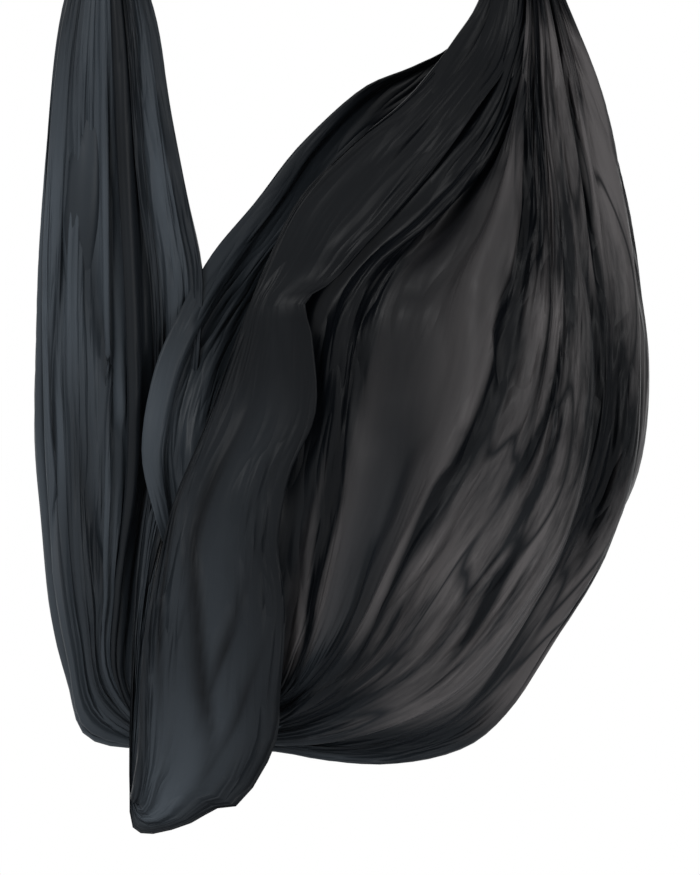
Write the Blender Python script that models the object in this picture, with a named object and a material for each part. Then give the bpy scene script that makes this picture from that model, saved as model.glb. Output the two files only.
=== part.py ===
"""Aerial yoga hammock: ceiling plates and eyes, carabiners, webbing straps, and one long cloth.

Metres, +Z up. X runs from the left knot to the right knot, and -Y is the front.
The origin lies on the ceiling, midway between the two plates.
"""
import math

import bmesh
import bpy
import numpy as np
from mathutils import Matrix, Vector

# Ceiling plates and eyes
ANCHOR_SPACING = 0.910
PLATE_RADIUS = 0.040
PLATE_THICKNESS = 0.006
EYE_WIRE_RADIUS = 0.005
EYE_BEND_RADIUS = 0.021
EYE_LEG_BELOW_PLATE = 0.018
EYE_LEG_RECESS = 0.001

# Coach screws
SCREW_COUNT = 4
SCREW_CIRCLE_RADIUS = 0.030
SCREW_RADIUS = 0.003
SCREW_LENGTH = 0.045
SCREW_TIP_LENGTH = 0.006
SCREW_HEAD_ACROSS_FLATS = 0.010
SCREW_HEAD_HEIGHT = 0.004

# Carabiners
BAR_RADIUS = 0.0055
CARABINER_BEND_RADIUS = 0.0215
CARABINER_STRAIGHT = 0.056
GATE_RADIUS = 0.0045
GATE_PIN_RADIUS = 0.0015
GATE_PIN_ABOVE_BEND = 0.0078
GATE_NOSE_GAP = 0.0009
NOSE_BELOW_BEND = 0.002
TANG_THICKNESS = 0.004
TANG_RADIUS = 0.0038
FORK_HALF_LENGTH = 0.0042
SHOULDER_GAP = 0.0027
SPRING_RADIUS = 0.0016
SPRING_WIRE_RADIUS = 0.0003
SPRING_LENGTH = 0.014
SPRING_TURNS = 4
SPRING_BORE_RADIUS = 0.0022

# Webbing straps
STRAP_BAR_SPACING = 0.468
WEBBING_THICKNESS = 0.0025
WEBBING_WIDTH = 0.025
LOOP_WIDTH = 0.012
LOOP_LENGTH = 0.045
LOOP_TAPER = 0.030

# Choker knots
KNOT_BUNDLE_RADIUS = 0.0125
KNOT_WRAPS = 2
KNOT_WRAP_RADIUS = 0.0115
KNOT_COLLAR_RADIUS = 0.02425
KNOT_WRAP_PITCH = 1.9
KNOT_WRAP_LEAN = 0.22
KNOT_NARROWS_AT = 0.35
KNOT_LENGTH = 0.120
KNOT_THROAT_RADIUS = 0.026
LEG_LENGTH_OVER_COLLAR = 0.018

# Cloth
CLOTH_THICKNESS = 0.0016
CLOTH_LENGTH_HUNG = 4.30
CLOTH_WIDTH = 2.80
CLOTH_STEPS_ALONG = 50

# The cloth's main lengthwise folds. Steepness is a fold's half height over its width, where the
# cloth is spread flat and where it is drawn together. Each share goes with a place across the cloth.
FOLD_COUNT = 11
FOLD_STEEPNESS = 0.07
GATHERED_FOLD_STEEPNESS = 0.12
FOLD_PLACES = (0.0, 0.10, 0.20, 0.30, 0.40, 0.70, 0.85, 1.0)
FOLD_SHARES = (0.0, 0.15, 0.30, 0.85, 1.0, 1.0, 0.8, 0.5)
FOLD_FADE_LENGTH = 0.35
STEPS_PER_FOLD = 4

# Facets
PLATE_SEGMENTS = 36
HOLE_SEGMENTS = 12
HEX_SIDES = 6
SHANK_SIDES = 2 * HEX_SIDES
BAR_SIDES = 10
BEND_STEPS = 10
SPRING_SIDES = 4
SPRING_STEPS_PER_TURN = 7
LOOP_STEPS = 5
KNOT_SIDES = 10
KNOT_SEGMENTS = 18
SHARP_ANGLE = 0.6
MERGE_DISTANCE = 1e-6

# Gaps between pieces that touch, and running clearances
TOUCH_GAP = 0.0003
PIN_CLEARANCE = 0.0003
TANG_CLEARANCE = 0.0004

# Heights on a carabiner, from its own middle, and its gate's length from pin to nose
GATE_PIN_HEIGHT = -CARABINER_STRAIGHT / 2 + GATE_PIN_ABOVE_BEND
SHOULDER_HEIGHT = GATE_PIN_HEIGHT - GATE_RADIUS - SHOULDER_GAP
GATE_LENGTH = CARABINER_STRAIGHT / 2 - NOSE_BELOW_BEND - GATE_NOSE_GAP - GATE_PIN_HEIGHT

# Heights, worked out down the chain from the ceiling
EYE_WIRE_Z = -PLATE_THICKNESS - EYE_LEG_BELOW_PLATE - EYE_BEND_RADIUS
UPPER_TOP_BAR_Z = EYE_WIRE_Z + EYE_WIRE_RADIUS + TOUCH_GAP + BAR_RADIUS
CARABINER_BAR_SPACING = CARABINER_STRAIGHT + 2 * CARABINER_BEND_RADIUS
UPPER_LOW_BAR_Z = UPPER_TOP_BAR_Z - CARABINER_BAR_SPACING
LOWER_TOP_BAR_Z = UPPER_LOW_BAR_Z - STRAP_BAR_SPACING
LOWER_LOW_BAR_Z = LOWER_TOP_BAR_Z - CARABINER_BAR_SPACING
THROAT_Z = LOWER_LOW_BAR_Z - KNOT_LENGTH
SIDES = (("left", -ANCHOR_SPACING / 2), ("right", ANCHOR_SPACING / 2))

# The cloth's lengthwise strands, from the front selvedge round the bag to the back selvedge.
# Each has its place across the cloth, its seat in the right throat and in the left throat as
# (angle in degrees, radius), and two lists of points: those that hang from the right knot and
# those that hang from the left. A point is (length along the cloth, x from its own knot,
# y, drop below the throat).
STRANDS = {
    "front_selvedge": {
        "across": 0.00,
        "right_seat": (-112, 0.027),
        "right": (
            (0.20, -0.005, -0.050, 0.200),
            (0.36, -0.030, -0.085, 0.350),
            (0.46, -0.085, -0.120, 0.430),
            (0.63, -0.180, -0.150, 0.565),
            (0.86, -0.330, -0.170, 0.737),
            (1.00, -0.425, -0.165, 0.835),
            (1.11, -0.455, -0.160, 0.945),
            (1.28, -0.448, -0.155, 1.110),
            (1.42, -0.503, -0.150, 1.243),
            (1.56, -0.528, -0.145, 1.388),
            (1.70, -0.515, -0.140, 1.520),
            (1.88, -0.525, -0.130, 1.720),
            (1.98, -0.541, -0.125, 1.843),
            (2.07, -0.612, -0.122, 1.945),
            (2.14, -0.700, -0.117, 1.990),
            (2.22, -0.805, -0.107, 2.018),
        ),
        "left": (
            (2.28, 0.062, -0.090, 2.008),
            (2.34, 0.055, -0.078, 1.930),
            (2.42, 0.054, -0.072, 1.840),
            (2.56, 0.058, -0.064, 1.700),
            (2.72, 0.062, -0.048, 1.560),
            (2.92, 0.075, -0.022, 1.380),
            (3.12, 0.100, -0.006, 1.190),
            (3.46, 0.100, -0.008, 0.830),
            (3.66, 0.080, -0.018, 0.640),
            (4.10, 0.045, -0.036, 0.200),
        ),
        "left_seat": (302, 0.026),
    },
    "crest": {
        "across": 0.10,
        "right_seat": (182, 0.028),
        "right": (
            (0.20, -0.085, -0.040, 0.200),
            (0.36, -0.151, -0.055, 0.303),
            (0.46, -0.228, -0.070, 0.400),
            (0.66, -0.374, -0.095, 0.528),
            (0.82, -0.484, -0.110, 0.651),
            (1.00, -0.569, -0.120, 0.829),
            (1.16, -0.629, -0.125, 0.977),
            (1.36, -0.701, -0.130, 1.166),
            (1.50, -0.754, -0.130, 1.296),
            (1.64, -0.785, -0.130, 1.432),
            (1.82, -0.812, -0.125, 1.608),
            (1.95, -0.818, -0.118, 1.740),
            (2.08, -0.818, -0.110, 1.870),
        ),
        "left": (
            (2.18, 0.080, -0.095, 1.945),
            (2.28, 0.076, -0.076, 1.900),
            (2.42, 0.078, -0.056, 1.800),
            (2.56, 0.082, -0.046, 1.690),
            (2.72, 0.092, -0.030, 1.560),
            (2.92, 0.120, 0.000, 1.390),
            (3.12, 0.165, 0.018, 1.190),
            (3.35, 0.190, 0.025, 0.950),
            (3.46, 0.194, 0.025, 0.825),
            (3.62, 0.168, 0.020, 0.656),
            (3.84, 0.135, 0.012, 0.453),
            (4.10, 0.096, 0.004, 0.200),
        ),
        "left_seat": (336, 0.026),
    },
    "under_lip": {
        "across": 0.20,
        "right_seat": (-134, 0.017),
        "right": (
            (0.20, 0.010, -0.030, 0.200),
            (0.46, -0.055, -0.075, 0.430),
            (0.75, -0.225, -0.115, 0.655),
            (1.00, -0.385, -0.125, 0.845),
            (1.28, -0.440, -0.115, 1.110),
            (1.56, -0.475, -0.105, 1.390),
            (1.82, -0.515, -0.075, 1.620),
            (2.02, -0.575, -0.040, 1.750),
            (2.20, -0.700, -0.026, 1.795),
        ),
        "left": (
            (2.36, 0.090, -0.024, 1.790),
            (2.52, 0.030, -0.018, 1.690),
            (2.72, 0.030, 0.002, 1.520),
            (3.12, 0.062, 0.015, 1.190),
            (3.66, 0.062, 0.000, 0.640),
            (4.10, 0.035, -0.022, 0.200),
        ),
        "left_seat": (292, 0.017),
    },
    "front_wall": {
        "across": 0.33,
        "right_seat": (-80, 0.022),
        "right": (
            (0.20, 0.023, -0.060, 0.205),
            (0.46, 0.015, -0.130, 0.440),
            (0.75, 0.010, -0.210, 0.700),
            (1.05, -0.025, -0.265, 0.930),
            (1.35, -0.095, -0.275, 1.180),
            (1.64, -0.230, -0.230, 1.420),
            (1.90, -0.375, -0.140, 1.660),
            (2.08, -0.515, -0.036, 1.772),
            (2.26, -0.680, -0.012, 1.806),
        ),
        "left": (
            (2.44, 0.075, -0.006, 1.796),
            (2.58, -0.005, 0.000, 1.700),
            (2.76, -0.015, 0.005, 1.520),
            (3.12, -0.015, 0.015, 1.190),
            (3.66, -0.015, -0.005, 0.640),
            (4.10, -0.012, -0.030, 0.200),
        ),
        "left_seat": (258, 0.022),
    },
    "front_wall_right": {
        "across": 0.43,
        "right_seat": (-38, 0.022),
        "right": (
            (0.20, 0.065, -0.040, 0.205),
            (0.46, 0.105, -0.110, 0.430),
            (0.75, 0.150, -0.170, 0.690),
            (1.05, 0.175, -0.200, 0.950),
            (1.35, 0.155, -0.205, 1.220),
            (1.64, 0.045, -0.190, 1.480),
            (1.90, -0.155, -0.130, 1.720),
            (2.12, -0.395, -0.025, 1.822),
            (2.32, -0.610, -0.002, 1.828),
        ),
        "left": (
            (2.50, 0.085, 0.007, 1.822),
            (2.63, -0.020, 0.005, 1.760),
            (2.78, -0.062, 0.010, 1.580),
            (3.12, -0.095, 0.022, 1.190),
            (3.66, -0.090, 0.005, 0.640),
            (4.10, -0.058, -0.022, 0.200),
        ),
        "left_seat": (222, 0.022),
    },
    "outer_edge": {
        "across": 0.52,
        "right_seat": (2, 0.022),
        "right": (
            (0.20, 0.088, 0.000, 0.200),
            (0.42, 0.163, 0.000, 0.402),
            (0.64, 0.220, 0.000, 0.607),
            (0.85, 0.260, 0.000, 0.800),
            (1.06, 0.278, 0.000, 1.003),
            (1.30, 0.249, 0.000, 1.265),
            (1.48, 0.176, 0.000, 1.417),
            (1.70, 0.055, 0.000, 1.600),
            (1.87, -0.044, 0.000, 1.762),
            (1.97, -0.110, 0.000, 1.828),
            (2.12, -0.264, 0.005, 1.870),
            (2.25, -0.410, 0.010, 1.862),
            (2.34, -0.520, 0.012, 1.842),
        ),
        "left": (
            (2.46, 0.200, 0.018, 1.842),
            (2.57, 0.060, 0.018, 1.840),
            (2.67, -0.045, 0.015, 1.815),
            (2.78, -0.072, 0.025, 1.720),
            (2.94, -0.108, 0.035, 1.560),
            (3.16, -0.140, 0.045, 1.300),
            (3.40, -0.153, 0.045, 1.030),
            (3.66, -0.148, 0.035, 0.740),
            (3.86, -0.130, 0.022, 0.480),
            (4.10, -0.093, 0.005, 0.200),
        ),
        "left_seat": (180, 0.022),
    },
    "back_wall_right": {
        "across": 0.64,
        "right_seat": (48, 0.022),
        "right": (
            (0.20, 0.050, 0.045, 0.205),
            (0.46, 0.085, 0.130, 0.440),
            (0.75, 0.105, 0.220, 0.700),
            (1.05, 0.100, 0.270, 0.960),
            (1.35, 0.055, 0.270, 1.230),
            (1.64, -0.065, 0.220, 1.480),
            (1.90, -0.245, 0.130, 1.700),
            (2.20, -0.465, 0.070, 1.800),
        ),
        "left": (
            (2.44, 0.190, 0.050, 1.805),
            (2.62, 0.020, 0.050, 1.775),
            (2.80, -0.050, 0.065, 1.600),
            (3.16, -0.085, 0.090, 1.190),
            (3.62, -0.080, 0.065, 0.680),
            (4.10, -0.052, 0.030, 0.200),
        ),
        "left_seat": (128, 0.022),
    },
    "back_wall": {
        "across": 0.76,
        "right_seat": (96, 0.022),
        "right": (
            (0.20, -0.010, 0.055, 0.205),
            (0.46, -0.065, 0.140, 0.420),
            (0.75, -0.155, 0.230, 0.660),
            (1.05, -0.235, 0.280, 0.920),
            (1.35, -0.315, 0.270, 1.200),
            (1.64, -0.405, 0.200, 1.450),
            (1.90, -0.505, 0.120, 1.660),
            (2.20, -0.640, 0.085, 1.760),
        ),
        "left": (
            (2.44, 0.120, 0.085, 1.740),
            (2.62, 0.045, 0.095, 1.640),
            (2.84, 0.022, 0.108, 1.440),
            (3.16, 0.012, 0.110, 1.160),
            (3.62, 0.006, 0.075, 0.680),
            (4.10, 0.000, 0.038, 0.200),
        ),
        "left_seat": (84, 0.022),
    },
    "back_fold": {
        "across": 0.92,
        "right_seat": (126, 0.022),
        "right": (
            (0.20, -0.045, 0.048, 0.205),
            (0.46, -0.165, 0.110, 0.385),
            (0.76, -0.355, 0.160, 0.570),
            (1.08, -0.535, 0.130, 0.820),
            (1.38, -0.655, 0.020, 1.050),
            (1.55, -0.690, -0.020, 1.200),
            (1.70, -0.690, -0.020, 1.320),
            (1.85, -0.680, 0.000, 1.430),
            (2.02, -0.665, 0.035, 1.590),
            (2.20, -0.695, 0.072, 1.690),
        ),
        "left": (
            (2.42, 0.140, 0.092, 1.680),
            (2.62, 0.105, 0.104, 1.560),
            (2.84, 0.090, 0.110, 1.400),
            (3.16, 0.090, 0.106, 1.120),
            (3.62, 0.080, 0.068, 0.660),
            (4.10, 0.048, 0.030, 0.200),
        ),
        "left_seat": (54, 0.022),
    },
    "back_selvedge": {
        "across": 1.00,
        "right_seat": (150, 0.021),
        "right": (
            (0.20, -0.068, 0.030, 0.205),
            (0.34, -0.155, 0.060, 0.300),
            (0.46, -0.238, 0.080, 0.345),
            (0.60, -0.349, 0.100, 0.398),
            (0.76, -0.484, 0.100, 0.515),
            (0.92, -0.578, 0.085, 0.634),
            (1.10, -0.682, 0.040, 0.763),
            (1.25, -0.748, -0.010, 0.882),
            (1.40, -0.803, -0.040, 1.010),
            (1.56, -0.831, -0.055, 1.190),
            (1.70, -0.807, -0.055, 1.322),
            (1.84, -0.780, -0.040, 1.430),
            (2.00, -0.738, 0.000, 1.570),
            (2.16, -0.722, 0.048, 1.655),
        ),
        "left": (
            (2.36, 0.155, 0.085, 1.630),
            (2.60, 0.145, 0.098, 1.470),
            (2.84, 0.140, 0.100, 1.300),
            (3.16, 0.140, 0.092, 1.050),
            (3.62, 0.128, 0.050, 0.640),
            (4.10, 0.078, 0.018, 0.200),
        ),
        "left_seat": (28, 0.022),
    },
}


def clear_scene():
    for thing in list(bpy.data.objects):
        bpy.data.objects.remove(thing, do_unlink=True)


def make_material(name, colour, roughness, metallic):
    material = bpy.data.materials.new(name)
    material.use_nodes = True
    shader = material.node_tree.nodes["Principled BSDF"]
    shader.inputs["Base Color"].default_value = (*colour, 1.0)
    shader.inputs["Roughness"].default_value = roughness
    shader.inputs["Metallic"].default_value = metallic
    material.diffuse_color = (*colour, 1.0)
    return material


def make_materials():
    return {
        "plate_steel": make_material("plate_steel", (0.55, 0.56, 0.57), 0.45, 1.0),
        "eye_steel": make_material("eye_steel", (0.60, 0.61, 0.62), 0.35, 1.0),
        "screw_zinc": make_material("screw_zinc", (0.66, 0.66, 0.62), 0.40, 1.0),
        "carabiner_steel": make_material("carabiner_steel", (0.62, 0.63, 0.64), 0.28, 1.0),
        "gate_steel": make_material("gate_steel", (0.58, 0.59, 0.60), 0.30, 1.0),
        "pin_steel": make_material("pin_steel", (0.45, 0.46, 0.47), 0.35, 1.0),
        "spring_steel": make_material("spring_steel", (0.40, 0.41, 0.43), 0.35, 1.0),
        "webbing": make_material("webbing", (0.015, 0.015, 0.017), 0.85, 0.0),
        "cloth_knot": make_material("cloth_knot", (0.018, 0.020, 0.023), 0.55, 0.0),
        "cloth": make_material("cloth", (0.020, 0.022, 0.026), 0.50, 0.0),
    }


def place_of(thing):
    """Where a thing stands in the scene: nothing above it in the tree is turned or scaled."""
    place = Vector((0.0, 0.0, 0.0))
    while thing is not None:
        place += thing.location
        thing = thing.parent
    return place


def add_thing(name, mesh, place, parent=None):
    """An object, or an empty where there is no mesh, at a place in the scene below its parent."""
    thing = bpy.data.objects.new(name, mesh)
    bpy.context.scene.collection.objects.link(thing)
    thing.parent = parent
    thing.location = Vector(place) - place_of(parent)
    return thing


def add_piece(name, mesh, material, place, parent=None):
    mesh.materials.clear()
    mesh.materials.append(material)
    return add_thing(name, mesh, place, parent)


def mesh_from_bmesh(name, shape):
    bmesh.ops.recalc_face_normals(shape, faces=shape.faces)
    mesh = bpy.data.meshes.new(name)
    shape.to_mesh(mesh)
    shape.free()
    mesh.shade_smooth()
    mesh.set_sharp_from_angle(angle=SHARP_ANGLE)
    return mesh


def cylinder_mesh(name, radius, length, segments, axis="Z", centre=(0.0, 0.0, 0.0)):
    """A closed cylinder about an axis through its centre."""
    turn = Matrix.Rotation(math.pi / 2, 4, "Y") if axis == "X" else Matrix.Identity(4)
    shape = bmesh.new()
    bmesh.ops.create_cone(
        shape,
        cap_ends=True,
        segments=segments,
        radius1=radius,
        radius2=radius,
        depth=length,
        matrix=Matrix.Translation(centre) @ turn,
    )
    return mesh_from_bmesh(name, shape)


def box_mesh(name, low, high):
    low, high = Vector(low), Vector(high)
    shape = bmesh.new()
    size = Matrix.Diagonal((*(high - low), 1.0))
    bmesh.ops.create_cube(shape, size=1.0, matrix=Matrix.Translation((low + high) / 2) @ size)
    return mesh_from_bmesh(name, shape)


def tube_mesh(name, path, radius, sides, closed=False):
    """A round bar along a path of points, with flat ends or joined up on itself."""
    path = np.asarray(path, dtype=float)
    if closed:
        ahead = np.roll(path, -1, axis=0) - np.roll(path, 1, axis=0)
    else:
        ahead = np.gradient(path, axis=0)
    ahead /= np.linalg.norm(ahead, axis=1)[:, None]
    least = np.eye(3)[np.argmin(np.abs(ahead[0]))]
    side = np.zeros_like(path)
    side[0] = np.cross(ahead[0], least)
    side[0] /= np.linalg.norm(side[0])
    for k in range(1, len(path)):
        flat = side[k - 1] - ahead[k] * np.dot(side[k - 1], ahead[k])
        side[k] = flat / np.linalg.norm(flat)
    other = np.cross(ahead, side)
    angle = np.linspace(0.0, 2 * math.pi, sides, endpoint=False)[None, :, None]
    ring = path[:, None, :] + radius * (np.cos(angle) * side[:, None, :] + np.sin(angle) * other[:, None, :])
    rows = len(path)
    shape = bmesh.new()
    rings = [[shape.verts.new(point) for point in row] for row in ring]
    for k in range(rows if closed else rows - 1):
        bridge_rings(shape, rings[k], rings[(k + 1) % rows])
    if not closed:
        shape.faces.new(rings[0][::-1])
        shape.faces.new(rings[-1])
    return mesh_from_bmesh(name, shape)


def bridge_rings(shape, low, high):
    """Side faces between two rings with as many points."""
    count = len(low)
    for k in range(count):
        shape.faces.new((low[k], low[(k + 1) % count], high[(k + 1) % count], high[k]))


def arc(centre, radius, start, stop, steps):
    """Points of an arc in the plane of the two coordinates given, angles in degrees."""
    angle = np.radians(np.linspace(start, stop, steps + 1))
    return np.stack([centre[0] + radius * np.cos(angle), centre[1] + radius * np.sin(angle)], axis=1)


def cut(target, cutter_mesh, operation="DIFFERENCE"):
    """Cuts a shape from the target, or joins it on, in the target's own place."""
    cutter = add_thing(cutter_mesh.name, cutter_mesh, place_of(target), target.parent)
    cutter.hide_render = True
    cutter.display_type = "WIRE"
    boolean = target.modifiers.new(cutter_mesh.name, "BOOLEAN")
    boolean.operation = operation
    boolean.solver = "EXACT"
    boolean.object = cutter


def screw_places():
    angles = [math.pi * (2 * k + 1) / SCREW_COUNT for k in range(SCREW_COUNT)]
    return [(SCREW_CIRCLE_RADIUS * math.cos(a), SCREW_CIRCLE_RADIUS * math.sin(a)) for a in angles]


def add_plate(side, x, materials):
    """A flat disc with holes for the eye's two legs and for the screws."""
    name = f"{side}_ceiling_plate"
    middle = (0.0, 0.0, -PLATE_THICKNESS / 2)
    mesh = cylinder_mesh(name, PLATE_RADIUS, PLATE_THICKNESS, PLATE_SEGMENTS, centre=middle)
    plate = add_piece(name, mesh, materials["plate_steel"], (x, 0.0, 0.0))
    through = 3 * PLATE_THICKNESS
    holes = [(EYE_WIRE_RADIUS + TOUCH_GAP, leg_x, 0.0) for leg_x in (-EYE_BEND_RADIUS, EYE_BEND_RADIUS)]
    holes += [(SCREW_RADIUS + TOUCH_GAP, hole_x, hole_y) for hole_x, hole_y in screw_places()]
    for number, (radius, hole_x, hole_y) in enumerate(holes):
        place = (hole_x, hole_y, 0.0)
        cut(plate, cylinder_mesh(f"{side}_hole_{number}", radius, through, HOLE_SEGMENTS, centre=place))


def screw_mesh(name):
    """A hex head whose top lies under the plate, and a shank with a point above it."""
    head_top = -PLATE_THICKNESS - TOUCH_GAP
    corner = SCREW_HEAD_ACROSS_FLATS / math.sqrt(3)
    shank_top = head_top + SCREW_LENGTH - SCREW_TIP_LENGTH
    levels = (
        (corner, head_top - SCREW_HEAD_HEIGHT, HEX_SIDES),
        (corner, head_top, HEX_SIDES),
        (SCREW_RADIUS, head_top, SHANK_SIDES),
        (SCREW_RADIUS, shank_top, SHANK_SIDES),
    )
    shape = bmesh.new()
    rings = []
    for radius, z, count in levels:
        turn = [2 * math.pi * k / count for k in range(count)]
        rings.append([shape.verts.new((radius * math.cos(a), radius * math.sin(a), z)) for a in turn])
    tip = shape.verts.new((0.0, 0.0, head_top + SCREW_LENGTH))
    shape.faces.new(rings[0])
    bridge_rings(shape, rings[0], rings[1])
    for k in range(HEX_SIDES):
        outer = (rings[1][k], rings[1][(k + 1) % HEX_SIDES])
        inner = (rings[2][(2 * k + 2) % SHANK_SIDES], rings[2][2 * k + 1], rings[2][2 * k])
        shape.faces.new((*outer, *inner))
    bridge_rings(shape, rings[2], rings[3])
    for k in range(SHANK_SIDES):
        shape.faces.new((rings[3][k], rings[3][(k + 1) % SHANK_SIDES], tip))
    return mesh_from_bmesh(name, shape)


def add_screws(side, x, materials):
    for number, (place_x, place_y) in enumerate(screw_places()):
        name = f"{side}_screw_{number + 1}"
        add_piece(name, screw_mesh(name), materials["screw_zinc"], (x + place_x, place_y, 0.0))


def add_eye(side, x, materials):
    """A U of round bar whose legs stand in the plate's holes."""
    bend_z = EYE_WIRE_Z + EYE_BEND_RADIUS
    bend = arc((0.0, bend_z), EYE_BEND_RADIUS, 180, 360, BEND_STEPS)
    top = -EYE_LEG_RECESS
    profile = np.vstack([[(-EYE_BEND_RADIUS, top)], bend, [(EYE_BEND_RADIUS, top)]])
    path = np.stack([profile[:, 0], np.zeros(len(profile)), profile[:, 1]], axis=1)
    mesh = tube_mesh(f"{side}_eye", path, EYE_WIRE_RADIUS, BAR_SIDES)
    add_piece(f"{side}_eye", mesh, materials["eye_steel"], (x, 0.0, 0.0))


def carabiner_path():
    """The bar's centre line from the gate's shoulder round to the nose, about the middle."""
    half = CARABINER_STRAIGHT / 2
    bend = CARABINER_BEND_RADIUS
    bottom = arc((0.0, -half), bend, 180, 360, BEND_STEPS)
    top = arc((0.0, half), bend, 0, 180, BEND_STEPS)
    profile = np.vstack([[(-bend, SHOULDER_HEIGHT)], bottom, top, [(-bend, half - NOSE_BELOW_BEND)]])
    return np.stack([np.zeros(len(profile)), profile[:, 0], profile[:, 1]], axis=1)


def add_carabiner(name, x, middle_z, parent, materials):
    """Body with a tang, gate with a fork, the pin through both and the spring in the gate."""
    gate_y = -CARABINER_BEND_RADIUS
    body_mesh = tube_mesh(f"{name}_body", carabiner_path(), BAR_RADIUS, BAR_SIDES)
    body = add_piece(f"{name}_body", body_mesh, materials["carabiner_steel"], (x, 0.0, middle_z), parent)
    half_tang = TANG_THICKNESS / 2
    low = (-half_tang, gate_y - TANG_RADIUS, SHOULDER_HEIGHT - BAR_RADIUS)
    high = (half_tang, gate_y + TANG_RADIUS, GATE_PIN_HEIGHT)
    cut(body, box_mesh(f"{name}_tang_root", low, high), "UNION")
    pin_place = (0.0, gate_y, GATE_PIN_HEIGHT)
    tip = cylinder_mesh(f"{name}_tang_tip", TANG_RADIUS, TANG_THICKNESS, HOLE_SEGMENTS, "X", pin_place)
    cut(body, tip, "UNION")
    bore = GATE_PIN_RADIUS + PIN_CLEARANCE
    wide = 4 * GATE_RADIUS
    cut(body, cylinder_mesh(f"{name}_tang_hole", bore, wide, HOLE_SEGMENTS, "X", pin_place))

    hinge_place = (x, gate_y, middle_z + GATE_PIN_HEIGHT)
    hinge = add_thing(f"{name}_gate_hinge", None, hinge_place, parent)
    length = GATE_LENGTH
    stem = cylinder_mesh(f"{name}_gate", GATE_RADIUS, length, HOLE_SEGMENTS, centre=(0.0, 0.0, length / 2))
    gate = add_piece(f"{name}_gate", stem, materials["gate_steel"], hinge_place, hinge)
    foot = cylinder_mesh(f"{name}_gate_foot", GATE_RADIUS, 2 * FORK_HALF_LENGTH, HOLE_SEGMENTS, "X")
    cut(gate, foot, "UNION")
    slot = half_tang + TANG_CLEARANCE
    slot_top = TANG_RADIUS + 2 * TANG_CLEARANCE
    reach = 2 * GATE_RADIUS
    cut(gate, box_mesh(f"{name}_gate_slot", (-slot, -reach, -reach), (slot, reach, slot_top)))
    bore_top = slot_top + SPRING_LENGTH + TOUCH_GAP
    middle = (0.0, 0.0, bore_top / 2)
    cut(gate, cylinder_mesh(f"{name}_gate_bore", SPRING_BORE_RADIUS, bore_top, HOLE_SEGMENTS, centre=middle))
    cut(gate, cylinder_mesh(f"{name}_gate_pin_hole", bore, wide, HOLE_SEGMENTS, "X"))

    pin = cylinder_mesh(f"{name}_pin", GATE_PIN_RADIUS, 2 * FORK_HALF_LENGTH, HOLE_SEGMENTS, "X")
    add_piece(f"{name}_pin", pin, materials["pin_steel"], hinge_place, parent)
    spring = spring_mesh(f"{name}_gate_spring")
    add_piece(f"{name}_gate_spring", spring, materials["spring_steel"], hinge_place, hinge)


def spring_mesh(name):
    """A coil in the gate's bore, which stands on the tang and holds the gate shut."""
    low = TANG_RADIUS + TOUCH_GAP + SPRING_WIRE_RADIUS
    high = TANG_RADIUS + 2 * TANG_CLEARANCE + SPRING_LENGTH - SPRING_WIRE_RADIUS
    turn = np.linspace(0.0, 1.0, SPRING_STEPS_PER_TURN * SPRING_TURNS)
    angle = 2 * math.pi * SPRING_TURNS * turn
    radius = SPRING_RADIUS - SPRING_WIRE_RADIUS
    path = np.stack([radius * np.cos(angle), radius * np.sin(angle), low + (high - low) * turn], axis=1)
    return tube_mesh(name, path, SPRING_WIRE_RADIUS, SPRING_SIDES)


def strap_profile():
    """Outer and inner points down the strap's right side, from bar to bar, x then z.

    The inner line leaves the middle only where a loop goes round its bar.
    """
    bend = CARABINER_BEND_RADIUS - BAR_RADIUS
    edge_rise = bend - math.sqrt(bend**2 - (LOOP_WIDTH / 2) ** 2)
    inner = BAR_RADIUS + TOUCH_GAP + edge_rise
    outer = inner + WEBBING_THICKNESS
    bottom = -STRAP_BAR_SPACING
    sewn = (
        -LOOP_LENGTH,
        -LOOP_LENGTH - LOOP_TAPER,
        bottom + LOOP_LENGTH + LOOP_TAPER,
        bottom + LOOP_LENGTH,
    )
    outer_line = np.vstack(
        [
            arc((0.0, 0.0), outer, 90, 0, LOOP_STEPS),
            [(WEBBING_THICKNESS, z) for z in sewn],
            arc((0.0, bottom), outer, 0, -90, LOOP_STEPS),
        ]
    )
    inner_line = np.vstack(
        [
            arc((0.0, 0.0), inner, 90, 0, LOOP_STEPS),
            [(0.0, z) for z in sewn],
            arc((0.0, bottom), inner, 0, -90, LOOP_STEPS),
        ]
    )
    return outer_line, inner_line


def strap_half_width(z):
    """Half the webbing's width: folded narrow in the loops, full width between them."""
    from_loop = min(-z, STRAP_BAR_SPACING + z) - LOOP_LENGTH
    share = min(max(from_loop / LOOP_TAPER, 0.0), 1.0)
    return (LOOP_WIDTH + (WEBBING_WIDTH - LOOP_WIDTH) * share) / 2


def add_strap(side, hinge, materials):
    """Doubled webbing with a sewn loop at each end, one closed solid with two eyes."""
    outer_line, inner_line = strap_profile()
    shape = bmesh.new()
    for mirror in (1, -1):
        for k in range(len(outer_line) - 1):
            corners = [outer_line[k], outer_line[k + 1], inner_line[k + 1], inner_line[k]]
            front = [(mirror * cx, -strap_half_width(cz), cz) for cx, cz in corners]
            back = [(cx, -cy, cz) for cx, cy, cz in front]
            faces = [front, back[::-1], [front[0], back[0], back[1], front[1]]]
            if inner_line[k][0] > 0 or inner_line[k + 1][0] > 0:
                faces.append([front[2], back[2], back[3], front[3]])
            for face in faces:
                shape.faces.new([shape.verts.new(corner) for corner in face])
    bmesh.ops.remove_doubles(shape, verts=shape.verts, dist=MERGE_DISTANCE)
    mesh = mesh_from_bmesh(f"{side}_strap", shape)
    add_piece(f"{side}_strap", mesh, materials["webbing"], place_of(hinge), hinge)


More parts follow.
